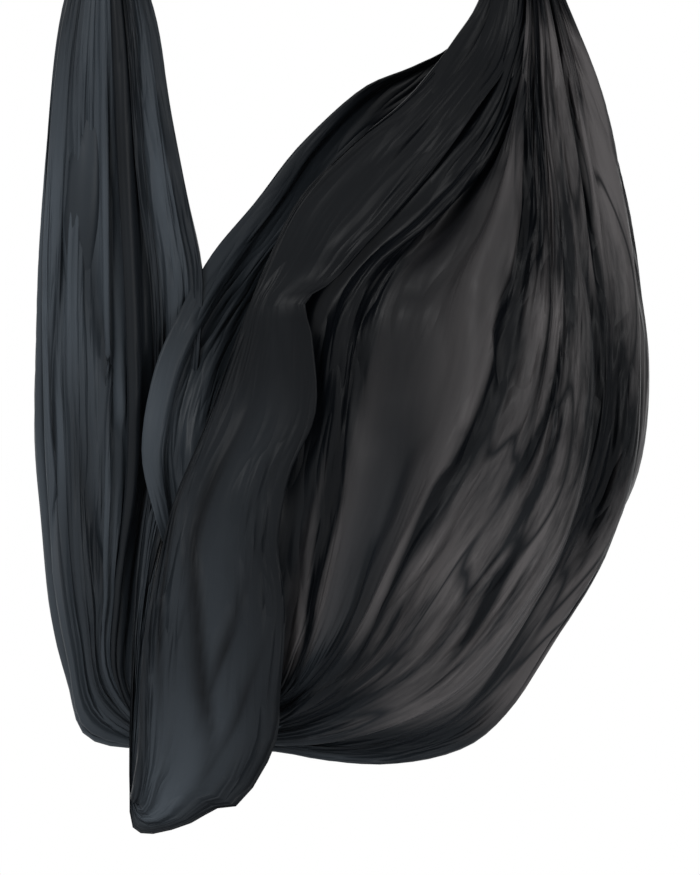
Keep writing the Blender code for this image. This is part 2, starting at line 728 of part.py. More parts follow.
def add_knot(side, x, parent, materials):
    """The cloth's end: a bundle over the bar, both legs in a collar of wraps, and the throat."""
    bend = BAR_RADIUS + TOUCH_GAP + KNOT_BUNDLE_RADIUS
    legs_bottom = -KNOT_LENGTH + LEG_LENGTH_OVER_COLLAR
    collar_top = legs_bottom + 2 * KNOT_WRAPS * KNOT_WRAP_RADIUS
    leg_x = KNOT_BUNDLE_RADIUS + TOUCH_GAP
    left_leg = [(-leg_x, legs_bottom), (-leg_x, collar_top), (-bend, KNOT_NARROWS_AT * collar_top)]
    over = arc((0.0, 0.0), bend, 180, 0, BEND_STEPS)
    profile = np.vstack([left_leg, over, [(-px, pz) for px, pz in left_leg[::-1]]])
    path = np.stack([profile[:, 0], np.zeros(len(profile)), profile[:, 1]], axis=1)
    mesh = tube_mesh(f"{side}_knot", path, KNOT_BUNDLE_RADIUS, KNOT_SIDES)
    knot = add_piece(f"{side}_knot", mesh, materials["cloth_knot"], (x, 0.0, LOWER_LOW_BAR_Z), parent)
    neck_top = collar_top - KNOT_WRAP_RADIUS
    neck_length = neck_top + KNOT_LENGTH
    middle = (0.0, 0.0, neck_top - neck_length / 2)
    neck = cylinder_mesh(f"{side}_knot_neck", KNOT_THROAT_RADIUS, neck_length, KNOT_SEGMENTS, centre=middle)
    cut(knot, neck, "UNION")
    turn = np.linspace(0.0, 2 * math.pi, KNOT_SEGMENTS, endpoint=False)
    for wrap in range(KNOT_WRAPS):
        wrap_z = collar_top - (KNOT_WRAP_PITCH * wrap + 1) * KNOT_WRAP_RADIUS
        lean = KNOT_WRAP_LEAN if wrap % 2 else -KNOT_WRAP_LEAN
        ring_x = KNOT_COLLAR_RADIUS * np.cos(turn)
        circle = np.stack([ring_x, KNOT_COLLAR_RADIUS * np.sin(turn), wrap_z + lean * ring_x], axis=1)
        wrap_mesh = tube_mesh(f"{side}_knot_wrap_{wrap}", circle, KNOT_WRAP_RADIUS, KNOT_SIDES, closed=True)
        cut(knot, wrap_mesh, "UNION")


def smooth_through(stations, values, at):
    """A smooth curve through values at stations, with slopes taken from each point's neighbours."""
    stations, values = np.asarray(stations, dtype=float), np.asarray(values, dtype=float)
    slopes = np.gradient(values, stations, axis=0)
    spot = np.clip(np.searchsorted(stations, at, side="right") - 1, 0, len(stations) - 2)
    width = stations[spot + 1] - stations[spot]
    t = (at - stations[spot]) / width
    t, width = t[:, None], width[:, None]
    low, high = values[spot], values[spot + 1]
    low_slope, high_slope = slopes[spot] * width, slopes[spot + 1] * width
    return (
        low * (2 * t**3 - 3 * t**2 + 1)
        + low_slope * (t**3 - 2 * t**2 + t)
        + high * (3 * t**2 - 2 * t**3)
        + high_slope * (t**3 - t**2)
    )


def seat_point(knot_x, seat):
    """A strand's end on the throat's rim, from its angle and radius."""
    angle, radius = math.radians(seat[0]), seat[1]
    return (knot_x + radius * math.cos(angle), radius * math.sin(angle), 0.0)


def strand_points(strand):
    """A strand's stations along the cloth and its points in space, from throat to throat."""
    half = ANCHOR_SPACING / 2
    stations = [0.0]
    points = [seat_point(half, strand["right_seat"])]
    for knot_x, leg in ((half, strand["right"]), (-half, strand["left"])):
        for station, x, y, drop in leg:
            stations.append(station)
            points.append((knot_x + x, y, -drop))
    stations.append(CLOTH_LENGTH_HUNG)
    points.append(seat_point(-half, strand["left_seat"]))
    return stations, points


def cloth_grid(steps_across, steps_along):
    """The cloth's middle surface as a grid of points, rows across and columns along."""
    along = np.linspace(0.0, CLOTH_LENGTH_HUNG, steps_along + 1)
    strands = np.array([smooth_through(*strand_points(strand), along) for strand in STRANDS.values()])
    places = [strand["across"] for strand in STRANDS.values()]
    across = np.linspace(0.0, 1.0, steps_across + 1)
    flat = strands.reshape(len(places), -1)
    grid = smooth_through(places, flat, across).reshape(len(across), len(along), 3)
    grid[:, :, 2] += THROAT_Z - TOUCH_GAP
    return grid


def drop_share(heights):
    """How far below the throats a height lies, as a share of the throats' own depth, at most 1."""
    return np.clip((THROAT_Z - heights) / -THROAT_Z, 0.0, 1.0)


def hang_plumb(grid):
    """Shifts the cloth front to back with the drop, until its middle of mass is under the knots."""
    spans = np.diff(grid, axis=0)[:, :-1]
    lengths = np.diff(grid, axis=1)[:-1]
    area = np.linalg.norm(np.cross(spans, lengths), axis=2)
    middle = (grid[:-1, :-1] + grid[1:, 1:]) / 2
    shift = -(area * middle[:, :, 1]).sum() / (area * drop_share(middle[:, :, 2])).sum()
    grid[:, :, 1] += shift * drop_share(grid[:, :, 2])
    return grid


def lay_in_folds(grid):
    """Pushes the cloth out and in along its main lengthwise folds, deeper where it is drawn together."""
    across = np.linspace(0.0, 1.0, len(grid))
    along = np.linspace(0.0, CLOTH_LENGTH_HUNG, grid.shape[1])
    sideways = np.gradient(grid, across, axis=0)
    outwards = np.cross(np.gradient(grid, along, axis=1), sideways)
    outwards /= np.linalg.norm(outwards, axis=2)[:, :, None]
    width = np.linalg.norm(sideways, axis=2)
    spare = np.clip(1.0 - width / CLOTH_WIDTH, 0.0, 1.0)
    steepness = FOLD_STEEPNESS + (GATHERED_FOLD_STEEPNESS - FOLD_STEEPNESS) * spare
    share = np.interp(across, FOLD_PLACES, FOLD_SHARES)[:, None]
    fade = np.clip(np.minimum(along, along[-1] - along) / FOLD_FADE_LENGTH, 0.0, 1.0)
    wave = np.sin(2 * math.pi * FOLD_COUNT * across)[:, None]
    grid += (width / FOLD_COUNT * steepness * share * fade * wave)[:, :, None] * outwards
    return grid


def add_cloth(parent, materials):
    """One open sheet from throat to throat, given its thickness by Solidify."""
    grid = hang_plumb(lay_in_folds(cloth_grid(FOLD_COUNT * STEPS_PER_FOLD, CLOTH_STEPS_ALONG)))
    rows, columns = grid.shape[:2]
    number = np.arange(rows * columns).reshape(rows, columns)
    faces = np.stack([number[:-1, :-1], number[1:, :-1], number[1:, 1:], number[:-1, 1:]], axis=2)
    place = place_of(parent)
    points = grid.reshape(-1, 3) - np.array(place)
    mesh = bpy.data.meshes.new("sling_cloth")
    mesh.from_pydata(points.tolist(), [], faces.reshape(-1, 4).tolist())
    mesh.update()
    mesh.shade_smooth()
    cloth = add_piece("sling_cloth", mesh, materials["cloth"], place, parent)
    solid = cloth.modifiers.new("thickness", "SOLIDIFY")
    solid.thickness = CLOTH_THICKNESS
    solid.offset = 0.0
    solid.use_even_offset = False


def build():
    clear_scene()
    materials = make_materials()
    upper_middle = UPPER_TOP_BAR_Z - CARABINER_BAR_SPACING / 2
    lower_middle = LOWER_TOP_BAR_Z - CARABINER_BAR_SPACING / 2
    strap_hinges = {}
    for side, x in SIDES:
        add_plate(side, x, materials)
        add_screws(side, x, materials)
        add_eye(side, x, materials)
        swing = add_thing(f"{side}_fore_aft_swing", None, (x, 0.0, EYE_WIRE_Z))
        add_carabiner(f"{side}_upper", x, upper_middle, swing, materials)
        strap_hinges[side] = add_thing(f"{side}_side_swing", None, (x, 0.0, UPPER_LOW_BAR_Z), swing)
        add_strap(side, strap_hinges[side], materials)
    left_x = dict(SIDES)["left"]
    sling = add_thing("sling_level", None, (left_x, 0.0, LOWER_TOP_BAR_Z), strap_hinges["left"])
    for side, x in SIDES:
        add_carabiner(f"{side}_lower", x, lower_middle, sling, materials)
        add_knot(side, x, sling, materials)
    add_cloth(sling, materials)


build()
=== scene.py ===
import math

import bmesh
import bpy
import numpy as np
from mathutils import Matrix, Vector


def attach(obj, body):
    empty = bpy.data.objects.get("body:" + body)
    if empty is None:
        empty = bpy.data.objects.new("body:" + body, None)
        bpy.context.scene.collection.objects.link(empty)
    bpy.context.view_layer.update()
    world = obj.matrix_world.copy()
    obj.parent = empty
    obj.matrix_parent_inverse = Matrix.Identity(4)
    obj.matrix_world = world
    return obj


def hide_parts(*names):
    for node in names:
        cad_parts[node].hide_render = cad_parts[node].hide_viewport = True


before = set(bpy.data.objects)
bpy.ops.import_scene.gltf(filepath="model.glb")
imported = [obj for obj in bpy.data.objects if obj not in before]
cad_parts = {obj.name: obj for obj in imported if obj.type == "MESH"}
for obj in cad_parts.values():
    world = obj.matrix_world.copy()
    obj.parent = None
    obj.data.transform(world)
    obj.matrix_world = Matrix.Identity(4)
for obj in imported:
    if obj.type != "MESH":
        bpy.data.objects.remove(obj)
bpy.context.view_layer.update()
print("frame loaded:", len(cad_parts), "nodes")

# camera: level with the middle of the hanging cloth, as in the photograph
cameraPlace = {
    "across": 0.0814,  # metres to the right of the middle between the knots
    "height": -1.983,
    "distance": 9.0,
    "heightShown": 1.925,  # metres of the hammock's own plane that fill the frame's height
    "sensorHeight": 24.0,
    "sightLength": 100.0,
}


# an object in the scene for a mesh, a camera or a lamp
def addObject(name, data):
    thing = bpy.data.objects.new(name, data)
    bpy.context.scene.collection.objects.link(thing)
    return thing


# a level camera whose lens is its sensor's height times the distance over the height shown
def addCamera(place):
    data = bpy.data.cameras.new("camera")
    data.sensor_fit = "VERTICAL"
    data.sensor_height = place["sensorHeight"]
    data.lens = place["sensorHeight"] * place["distance"] / place["heightShown"]
    data.clip_end = place["sightLength"]
    camera = addObject("camera", data)
    camera.location = (place["across"], -place["distance"], place["height"])
    camera.rotation_euler = (math.radians(90), 0.0, 0.0)
    bpy.context.scene.camera = camera


addCamera(cameraPlace)


# quads between neighbours of a grid of points; rows or columns may join up on themselves
def meshFromGrid(name, points, closeRows=False, closeColumns=False, uv=None):
    rows, columns = points.shape[:2]
    number = np.arange(rows * columns).reshape(rows, columns)
    down = np.roll(number, -1, axis=0) if closeRows else number[1:]
    here = number if closeRows else number[:-1]
    if closeColumns:
        quads = np.stack([here, down, np.roll(down, -1, axis=1), np.roll(here, -1, axis=1)], axis=-1)
    else:
        quads = np.stack([here[:, :-1], down[:, :-1], down[:, 1:], here[:, 1:]], axis=-1)
    quads = quads.reshape(-1, 4)
    mesh = bpy.data.meshes.new(name)
    mesh.vertices.add(rows * columns)
    mesh.vertices.foreach_set("co", points.reshape(-1).astype(np.float32))
    mesh.loops.add(quads.size)
    mesh.loops.foreach_set("vertex_index", quads.reshape(-1).astype(np.int32))
    mesh.polygons.add(len(quads))
    mesh.polygons.foreach_set("loop_start", np.arange(0, quads.size, 4, dtype=np.int32))
    mesh.update(calc_edges=True)
    if uv is not None:
        layer = mesh.uv_layers.new(name="flat")
        layer.data.foreach_set("uv", uv.reshape(-1, 2)[quads.reshape(-1)].reshape(-1).astype(np.float32))
    mesh.validate()
    mesh.shade_smooth()
    return mesh


# a value for each point, which a material reads by its name
def addAttribute(mesh, name, values):
    layer = mesh.attributes.new(name, "FLOAT", "POINT")
    layer.data.foreach_set("value", values.reshape(-1).astype(np.float32))


# a piece that rides on a body, takes a material and may stand for CAD nodes
def addPiece(name, mesh, material, body, replaced=()):
    piece = addObject(name, mesh)
    mesh.materials.append(material)
    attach(piece, body)
    if replaced:
        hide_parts(*replaced)
    return piece


# angles at even steps round a circle, the last a step short of a full turn
def fullTurn(count):
    return np.linspace(0.0, 2 * math.pi, count, endpoint=False)


# cubic between neighbours: values at the stations, slopes from each station's two neighbours
def smoothThrough(stations, values, at):
    stations, values = np.asarray(stations, dtype=float), np.asarray(values, dtype=float)
    slopes = np.gradient(values, stations, axis=0)
    spot = np.clip(np.searchsorted(stations, at, side="right") - 1, 0, len(stations) - 2)
    width = (stations[spot + 1] - stations[spot])[:, None]
    t = (at - stations[spot])[:, None] / width
    low, high = values[spot], values[spot + 1]
    return (
        low * (2 * t**3 - 3 * t**2 + 1)
        + slopes[spot] * width * (t**3 - 2 * t**2 + t)
        + high * (3 * t**2 - 2 * t**3)
        + slopes[spot + 1] * width * (t**3 - t**2)
    )


# the cloth's lengthwise strands, from the front selvedge round the bag to the back selvedge.
# a point is (length along the cloth, x from its own knot, y, drop below the throat), in metres
strands = {
    "frontSelvedge": {
        "across": 0.00,
        "rightSeat": (-112, 0.027),
        "right": (
            (0.20, -0.005, -0.050, 0.200), (0.36, -0.030, -0.085, 0.350), (0.46, -0.085, -0.120, 0.430),
            (0.63, -0.180, -0.134, 0.565), (0.86, -0.330, -0.146, 0.737), (1.00, -0.425, -0.146, 0.835),
            (1.04, -0.464, -0.163, 0.859), (1.13, -0.455, -0.160, 0.945), (1.28, -0.448, -0.155, 1.110),
            (1.42, -0.503, -0.150, 1.243), (1.56, -0.528, -0.145, 1.388), (1.70, -0.515, -0.140, 1.520),
            (1.88, -0.525, -0.130, 1.720), (1.98, -0.541, -0.125, 1.843), (2.06, -0.622, -0.122, 1.966),
            (2.09, -0.660, -0.120, 1.969), (2.14, -0.704, -0.117, 1.996), (2.22, -0.808, -0.107, 2.026),
        ),
        "left": (
            (2.28, 0.062, -0.090, 2.008), (2.34, 0.055, -0.078, 1.930), (2.42, 0.054, -0.072, 1.840),
            (2.56, 0.058, -0.064, 1.700), (2.72, 0.062, -0.048, 1.560), (2.92, 0.075, -0.022, 1.380),
            (3.12, 0.100, -0.006, 1.190), (3.46, 0.100, -0.008, 0.830), (3.66, 0.080, -0.018, 0.640),
            (4.10, 0.045, -0.036, 0.200),
        ),
        "leftSeat": (302, 0.026),
    },
    "crest": {
        "across": 0.10,
        "rightSeat": (182, 0.028),
        "right": (
            (0.20, -0.085, -0.040, 0.200), (0.36, -0.151, -0.055, 0.303), (0.46, -0.228, -0.086, 0.400),
            (0.66, -0.374, -0.117, 0.528), (0.82, -0.484, -0.132, 0.651), (1.00, -0.569, -0.138, 0.829),
            (1.16, -0.629, -0.125, 0.977), (1.36, -0.701, -0.130, 1.166), (1.50, -0.754, -0.130, 1.296),
            (1.64, -0.785, -0.130, 1.432), (1.82, -0.812, -0.125, 1.608), (1.95, -0.818, -0.118, 1.740),
            (2.08, -0.818, -0.110, 1.870),
        ),
        "left": (
            (2.18, 0.080, -0.095, 1.945), (2.28, 0.076, -0.076, 1.900), (2.42, 0.078, -0.056, 1.800),
            (2.56, 0.082, -0.046, 1.690), (2.72, 0.092, -0.030, 1.560), (2.92, 0.120, 0.000, 1.390),
            (3.12, 0.165, 0.018, 1.190), (3.35, 0.190, 0.025, 0.950), (3.46, 0.194, 0.025, 0.825),
            (3.62, 0.168, 0.020, 0.656), (3.84, 0.135, 0.012, 0.453), (4.10, 0.096, 0.004, 0.200),
        ),
        "leftSeat": (336, 0.026),
    },
    "underLip": {
        "across": 0.20,
        "rightSeat": (-134, 0.017),
        "right": (
            (0.20, 0.010, -0.030, 0.200), (0.46, -0.055, -0.075, 0.430), (0.75, -0.225, -0.115, 0.655),
            (1.00, -0.385, -0.125, 0.845), (1.28, -0.440, -0.115, 1.110), (1.56, -0.475, -0.105, 1.390),
            (1.82, -0.515, -0.075, 1.620), (2.02, -0.575, -0.040, 1.750), (2.20, -0.700, -0.026, 1.795),
        ),
        "left": (
            (2.36, 0.090, -0.024, 1.790), (2.52, 0.030, -0.018, 1.690), (2.72, 0.030, 0.002, 1.520),
            (3.12, 0.062, 0.015, 1.190), (3.66, 0.062, 0.000, 0.640), (4.10, 0.035, -0.022, 0.200),
        ),
        "leftSeat": (292, 0.017),
    },
    "frontWall": {
        "across": 0.33,
        "rightSeat": (-80, 0.022),
        "right": (
            (0.20, 0.023, -0.060, 0.205), (0.46, 0.015, -0.130, 0.440), (0.75, 0.010, -0.210, 0.700),
            (1.05, -0.025, -0.265, 0.930), (1.35, -0.095, -0.275, 1.180), (1.64, -0.230, -0.230, 1.420),
            (1.90, -0.375, -0.140, 1.660), (2.08, -0.515, -0.036, 1.772), (2.26, -0.680, -0.012, 1.806),
        ),
        "left": (
            (2.44, 0.075, -0.006, 1.796), (2.58, -0.005, 0.000, 1.700), (2.76, -0.015, 0.005, 1.520),
            (3.12, -0.015, 0.015, 1.190), (3.66, -0.015, -0.005, 0.640), (4.10, -0.012, -0.030, 0.200),
        ),
        "leftSeat": (258, 0.022),
    },
    "frontWallRight": {
        "across": 0.43,
        "rightSeat": (-38, 0.022),
        "right": (
            (0.20, 0.065, -0.040, 0.205), (0.46, 0.105, -0.110, 0.430), (0.75, 0.150, -0.170, 0.690),
            (1.05, 0.175, -0.200, 0.950), (1.35, 0.155, -0.205, 1.220), (1.64, 0.045, -0.190, 1.480),
            (1.90, -0.155, -0.130, 1.720), (2.12, -0.395, -0.025, 1.822), (2.32, -0.610, -0.002, 1.828),
        ),
        "left": (
            (2.50, 0.085, 0.007, 1.822), (2.63, -0.020, 0.005, 1.760), (2.78, -0.062, 0.010, 1.580),
            (3.12, -0.095, 0.022, 1.190), (3.66, -0.090, 0.005, 0.640), (4.10, -0.058, -0.022, 0.200),
        ),
        "leftSeat": (222, 0.022),
    },
    "outerEdge": {
        "across": 0.52,
        "rightSeat": (2, 0.022),
        "right": (
            (0.20, 0.088, 0.000, 0.200), (0.42, 0.163, 0.000, 0.402), (0.64, 0.220, 0.000, 0.607),
            (0.85, 0.260, 0.000, 0.800), (1.06, 0.278, 0.000, 1.003), (1.30, 0.249, 0.000, 1.265),
            (1.48, 0.176, 0.000, 1.417), (1.70, 0.055, 0.000, 1.600), (1.87, -0.044, 0.000, 1.762),
            (1.97, -0.110, 0.000, 1.828), (2.12, -0.264, 0.005, 1.870), (2.25, -0.410, 0.010, 1.862),
            (2.34, -0.520, 0.012, 1.842),
        ),
        "left": (
            (2.46, 0.200, 0.018, 1.842), (2.57, 0.060, 0.018, 1.840), (2.67, -0.045, 0.015, 1.815),
            (2.78, -0.064, 0.025, 1.720), (2.94, -0.095, 0.035, 1.560), (3.16, -0.124, 0.045, 1.300),
            (3.40, -0.136, 0.045, 1.030), (3.66, -0.142, 0.035, 0.740), (3.86, -0.128, 0.022, 0.480),
            (4.10, -0.093, 0.005, 0.200),
        ),
        "leftSeat": (180, 0.022),
    },
    "backWallRight": {
        "across": 0.64,
        "rightSeat": (48, 0.022),
        "right": (
            (0.20, 0.050, 0.045, 0.205), (0.46, 0.085, 0.130, 0.440), (0.75, 0.105, 0.220, 0.700),
            (1.05, 0.100, 0.270, 0.960), (1.35, 0.055, 0.270, 1.230), (1.64, -0.065, 0.220, 1.480),
            (1.90, -0.245, 0.130, 1.700), (2.20, -0.465, 0.070, 1.800),
        ),
        "left": (
            (2.44, 0.190, 0.050, 1.805), (2.62, 0.020, 0.050, 1.775), (2.80, -0.050, 0.065, 1.600),
            (3.16, -0.085, 0.090, 1.190), (3.62, -0.080, 0.065, 0.680), (4.10, -0.052, 0.030, 0.200),
        ),
        "leftSeat": (128, 0.022),
    },
    "backWall": {
        "across": 0.76,
        "rightSeat": (96, 0.022),
        "right": (
            (0.20, -0.010, 0.055, 0.205), (0.46, -0.065, 0.140, 0.420), (0.75, -0.155, 0.230, 0.660),
            (1.05, -0.235, 0.280, 0.920), (1.35, -0.315, 0.270, 1.200), (1.64, -0.405, 0.200, 1.450),
            (1.90, -0.505, 0.120, 1.660), (2.20, -0.640, 0.085, 1.760),
        ),
        "left": (
            (2.44, 0.120, 0.085, 1.740), (2.62, 0.045, 0.095, 1.640), (2.84, 0.022, 0.108, 1.440),
            (3.16, 0.012, 0.110, 1.160), (3.62, 0.006, 0.075, 0.680), (4.10, 0.000, 0.038, 0.200),
        ),
        "leftSeat": (84, 0.022),
    },
    "backFold": {
        "across": 0.92,
        "rightSeat": (126, 0.022),
        "right": (
            (0.20, -0.045, 0.048, 0.205), (0.46, -0.165, 0.110, 0.385), (0.76, -0.355, 0.160, 0.570),
            (1.08, -0.535, 0.130, 0.820), (1.38, -0.655, 0.020, 1.050), (1.55, -0.690, -0.020, 1.200),
            (1.70, -0.690, -0.020, 1.320), (1.85, -0.680, 0.000, 1.430), (2.02, -0.665, 0.035, 1.590),
            (2.20, -0.695, 0.072, 1.690),
        ),
        "left": (
            (2.42, 0.140, 0.092, 1.680), (2.62, 0.105, 0.104, 1.560), (2.84, 0.090, 0.110, 1.400),
            (3.16, 0.090, 0.106, 1.120), (3.62, 0.080, 0.068, 0.660), (4.10, 0.048, 0.030, 0.200),
        ),
        "leftSeat": (54, 0.022),
    },
    "backSelvedge": {
        "across": 1.00,
        "rightSeat": (150, 0.021),
        "right": (
            (0.20, -0.068, 0.030, 0.205), (0.34, -0.155, 0.060, 0.292), (0.46, -0.238, 0.080, 0.328),
            (0.60, -0.349, 0.100, 0.376), (0.76, -0.484, 0.100, 0.505), (0.92, -0.578, 0.085, 0.634),
            (1.10, -0.682, 0.040, 0.763), (1.25, -0.748, -0.010, 0.882), (1.40, -0.803, -0.040, 1.010),
            (1.56, -0.831, -0.055, 1.190), (1.70, -0.807, -0.055, 1.322), (1.84, -0.780, -0.040, 1.430),
            (2.00, -0.738, 0.000, 1.570), (2.16, -0.722, 0.048, 1.655),
        ),
        "left": (
            (2.36, 0.155, 0.085, 1.630), (2.60, 0.145, 0.098, 1.470), (2.84, 0.140, 0.100, 1.300),
            (3.16, 0.140, 0.092, 1.050), (3.62, 0.128, 0.050, 0.640), (4.10, 0.078, 0.018, 0.200),
        ),
        "leftSeat": (28, 0.022),
    },
}

clothSize = {
    "flatWidth": 2.80,
    "flatLength": 4.30,  # between the two throats
    "throatHeight": -0.8205,  # just below the knots' own throats, which reach into the cloth
    "knotSpacing": 0.91,
    "thickness": 0.0008,
    "rowsAcross": 350,
    "columnsAlong": 138,
}
clothFolds = {
    "mainCount": 11,  # main folds across the whole width, at even places
    "fineCount": 27,  # narrower folds laid over them, at uneven places
    "unevenness": 0.75,  # how much the narrow folds differ in width, below 1
    "wander": 1.5,  # radians by which narrow folds drift sideways on their way
    "lean": 0.55,  # how far folds lie over to one side
    "tightest": 1.1,  # how far a fold may take up more than the cloth it has
    "mostTurn": 1.9,  # radians by which a fold's direction may swing either way
    "takeUp": (0.5, 0.9),  # least share of the table that narrow folds take up, and the noise's part
    "seed": 11,
    # waves of noise over the whole cloth, across and along
    "mainLeanWaves": (4, 2),
    "wanderWaves": (4, 3),
    "takeUpWaves": (6, 4),
    "fineLeanWaves": (6, 3),
    # grid steps across and along over which the strands' spread and the folds' widths are evened
    "spreadBlur": (10, 5),
    "widthBlur": (14, 5),
    # (metres along, widths by which the main folds have moved across), seen on the bag's front
    "drift": ((0.0, 0.9, 2.0, 2.6, 4.3), (0.0, 0.002, -0.034, 0.0, 0.0)),
    # (metres along, how alike the narrow folds are): more alike in the left gather
    "evenness": ((2.2, 2.8), (0.0, 0.35)),
}
# how much cloth the folds take up, as a multiple of the width they fill. A column goes with a
# place along the cloth and a row with a place across it: the lip, the walls, the back
foldPlaces = (0.0, 0.06, 0.12, 0.20, 0.30, 0.42, 0.52, 0.62, 0.80, 0.92, 1.0)
foldStations = (0.0, 0.45, 0.90, 1.50, 2.00, 2.30, 2.70, 3.30, 3.90, 4.30)
mainFullness = (
    (1.02, 1.02, 1.00, 1.00, 1.00, 1.00, 1.04, 1.06, 1.06, 1.06),
    (1.02, 1.02, 1.00, 1.00, 1.00, 1.00, 1.04, 1.06, 1.06, 1.06),
    (1.10, 1.06, 1.01, 1.00, 1.00, 1.02, 1.10, 1.20, 1.20, 1.10),
    (1.30, 1.40, 1.02, 1.01, 1.02, 1.05, 1.50, 1.70, 1.60, 1.30),
    (1.04, 1.05, 1.06, 1.10, 1.10, 1.08, 1.12, 1.15, 1.12, 1.06),
    (1.04, 1.06, 1.08, 1.11, 1.09, 1.08, 1.08, 1.06, 1.06, 1.06),
    (1.05, 1.10, 1.06, 1.06, 1.03, 1.04, 1.04, 1.04, 1.04, 1.06),
    (1.30, 1.40, 1.10, 1.07, 1.10, 1.25, 1.55, 1.70, 1.70, 1.30),
    (1.30, 1.40, 1.10, 1.07, 1.10, 1.25, 2.00, 2.30, 2.10, 1.30),
    (1.20, 1.20, 1.04, 1.04, 1.06, 1.12, 1.60, 1.90, 1.80, 1.20),
    (1.02, 1.04, 1.02, 1.02, 1.04, 1.04, 1.15, 1.25, 1.20, 1.10),
)
fineFullness = (
    (1.01, 1.01, 1.01, 1.00, 1.00, 1.03, 1.10, 1.15, 1.20, 1.30),
    (1.01, 1.01, 1.00, 1.01, 1.01, 1.03, 1.10, 1.15, 1.20, 1.30),
    (1.15, 1.10, 1.02, 1.02, 1.04, 1.15, 1.12, 1.10, 1.20, 1.40),
    (1.80, 2.00, 1.10, 1.04, 1.06, 1.30, 1.60, 1.50, 1.70, 2.00),
    (1.25, 1.25, 1.04, 1.02, 1.10, 1.25, 1.12, 1.06, 1.12, 1.40),
    (1.25, 1.28, 1.06, 1.02, 1.10, 1.25, 1.12, 1.05, 1.10, 1.35),
    (1.25, 1.35, 1.12, 1.06, 1.12, 1.20, 1.08, 1.05, 1.10, 1.25),
    (1.80, 2.00, 1.40, 1.30, 1.50, 2.00, 2.20, 2.40, 2.50, 2.00),
    (1.80, 2.00, 1.40, 1.30, 1.50, 2.20, 2.80, 3.00, 3.00, 2.00),
    (1.70, 1.80, 1.15, 1.10, 1.30, 1.80, 2.50, 2.80, 2.80, 2.00),
    (1.10, 1.20, 1.03, 1.02, 1.04, 1.10, 1.50, 1.60, 1.60, 1.50),
)

# single creases seen on the bag's front, the tail and the left gather, in metres: half width,
# depth, how much painted shade it lays on the cloth, and its path of (metres along, place across)
creases = {
    "longDiagonal": (0.036, 0.020, 1.0, (
        (0.85, 0.316), (1.10, 0.327), (1.30, 0.325), (1.50, 0.321), (1.70, 0.322), (1.90, 0.325),
        (2.10, 0.310),
    )),
    "rightDiagonal": (0.038, 0.018, 1.0, (
        (0.80, 0.405), (1.00, 0.418), (1.25, 0.432), (1.50, 0.440), (1.70, 0.450), (1.95, 0.465),
    )),
    "besideLip": (0.026, 0.014, 1.0, (
        (0.85, 0.214), (1.10, 0.224), (1.30, 0.219), (1.50, 0.215), (1.70, 0.213), (1.95, 0.226),
    )),
    "fromKnot": (0.020, 0.012, 1.0, ((0.25, 0.290), (0.50, 0.312), (0.70, 0.326), (0.95, 0.320))),
    "fromKnotMiddle": (0.013, 0.011, 1.0, ((0.30, 0.345), (0.65, 0.350), (0.92, 0.355), (1.20, 0.360))),
    "fromKnotRight": (0.014, 0.010, 1.0, ((0.35, 0.440), (0.65, 0.430), (1.10, 0.436))),
    "middleShort": (0.015, 0.011, 1.0, ((1.00, 0.382), (1.20, 0.374), (1.50, 0.360))),
    "rightShort": (0.015, 0.011, 1.0, ((1.05, 0.460), (1.30, 0.456), (1.60, 0.462))),
    "lowShort": (0.014, 0.010, 1.0, ((1.45, 0.392), (1.65, 0.390), (1.95, 0.400))),
    "abovePinch": (0.014, 0.012, 1.0, ((1.55, 0.262), (1.75, 0.272), (2.00, 0.270))),
    "tailMiddle": (0.020, 0.012, 1.0, ((1.25, 0.050), (1.60, 0.058), (1.90, 0.045), (2.10, 0.030))),
    "tailPinch": (0.012, 0.012, 1.0, ((1.60, 0.020), (1.80, 0.034), (2.00, 0.050))),
    "tailPinchLower": (0.012, 0.012, 1.0, ((1.74, 0.008), (1.92, 0.024), (2.08, 0.040))),
    "tailFold": (0.012, 0.010, 1.0, ((1.35, 0.084), (1.70, 0.080), (2.00, 0.072))),
    "lipCrease": (0.016, 0.008, 1.0, ((0.45, 0.060), (0.70, 0.075), (0.95, 0.085))),
    "gatherLong": (0.085, 0.017, 0.5, (
        (2.80, 0.210), (3.14, 0.253), (3.42, 0.345), (3.74, 0.370), (3.95, 0.365),
    )),
    "gatherLeft": (0.070, 0.015, 0.5, ((3.00, 0.485), (3.30, 0.455), (3.55, 0.435), (3.85, 0.410))),
    "gatherRight": (0.070, 0.016, 0.5, ((3.10, 0.290), (3.36, 0.268), (3.64, 0.260), (4.00, 0.285))),
    "gatherLow": (0.070, 0.013, 0.5, ((2.62, 0.275), (2.84, 0.330), (3.06, 0.375), (3.24, 0.400))),
    "outer": (0.016, 0.010, 1.0, ((0.55, 0.480), (1.00, 0.478), (1.50, 0.486), (1.90, 0.500))),
}
creaseFade = 0.2  # metres along a crease in which it starts and ends
creaseCrispness = 0.45  # share of the half width on the crisp side
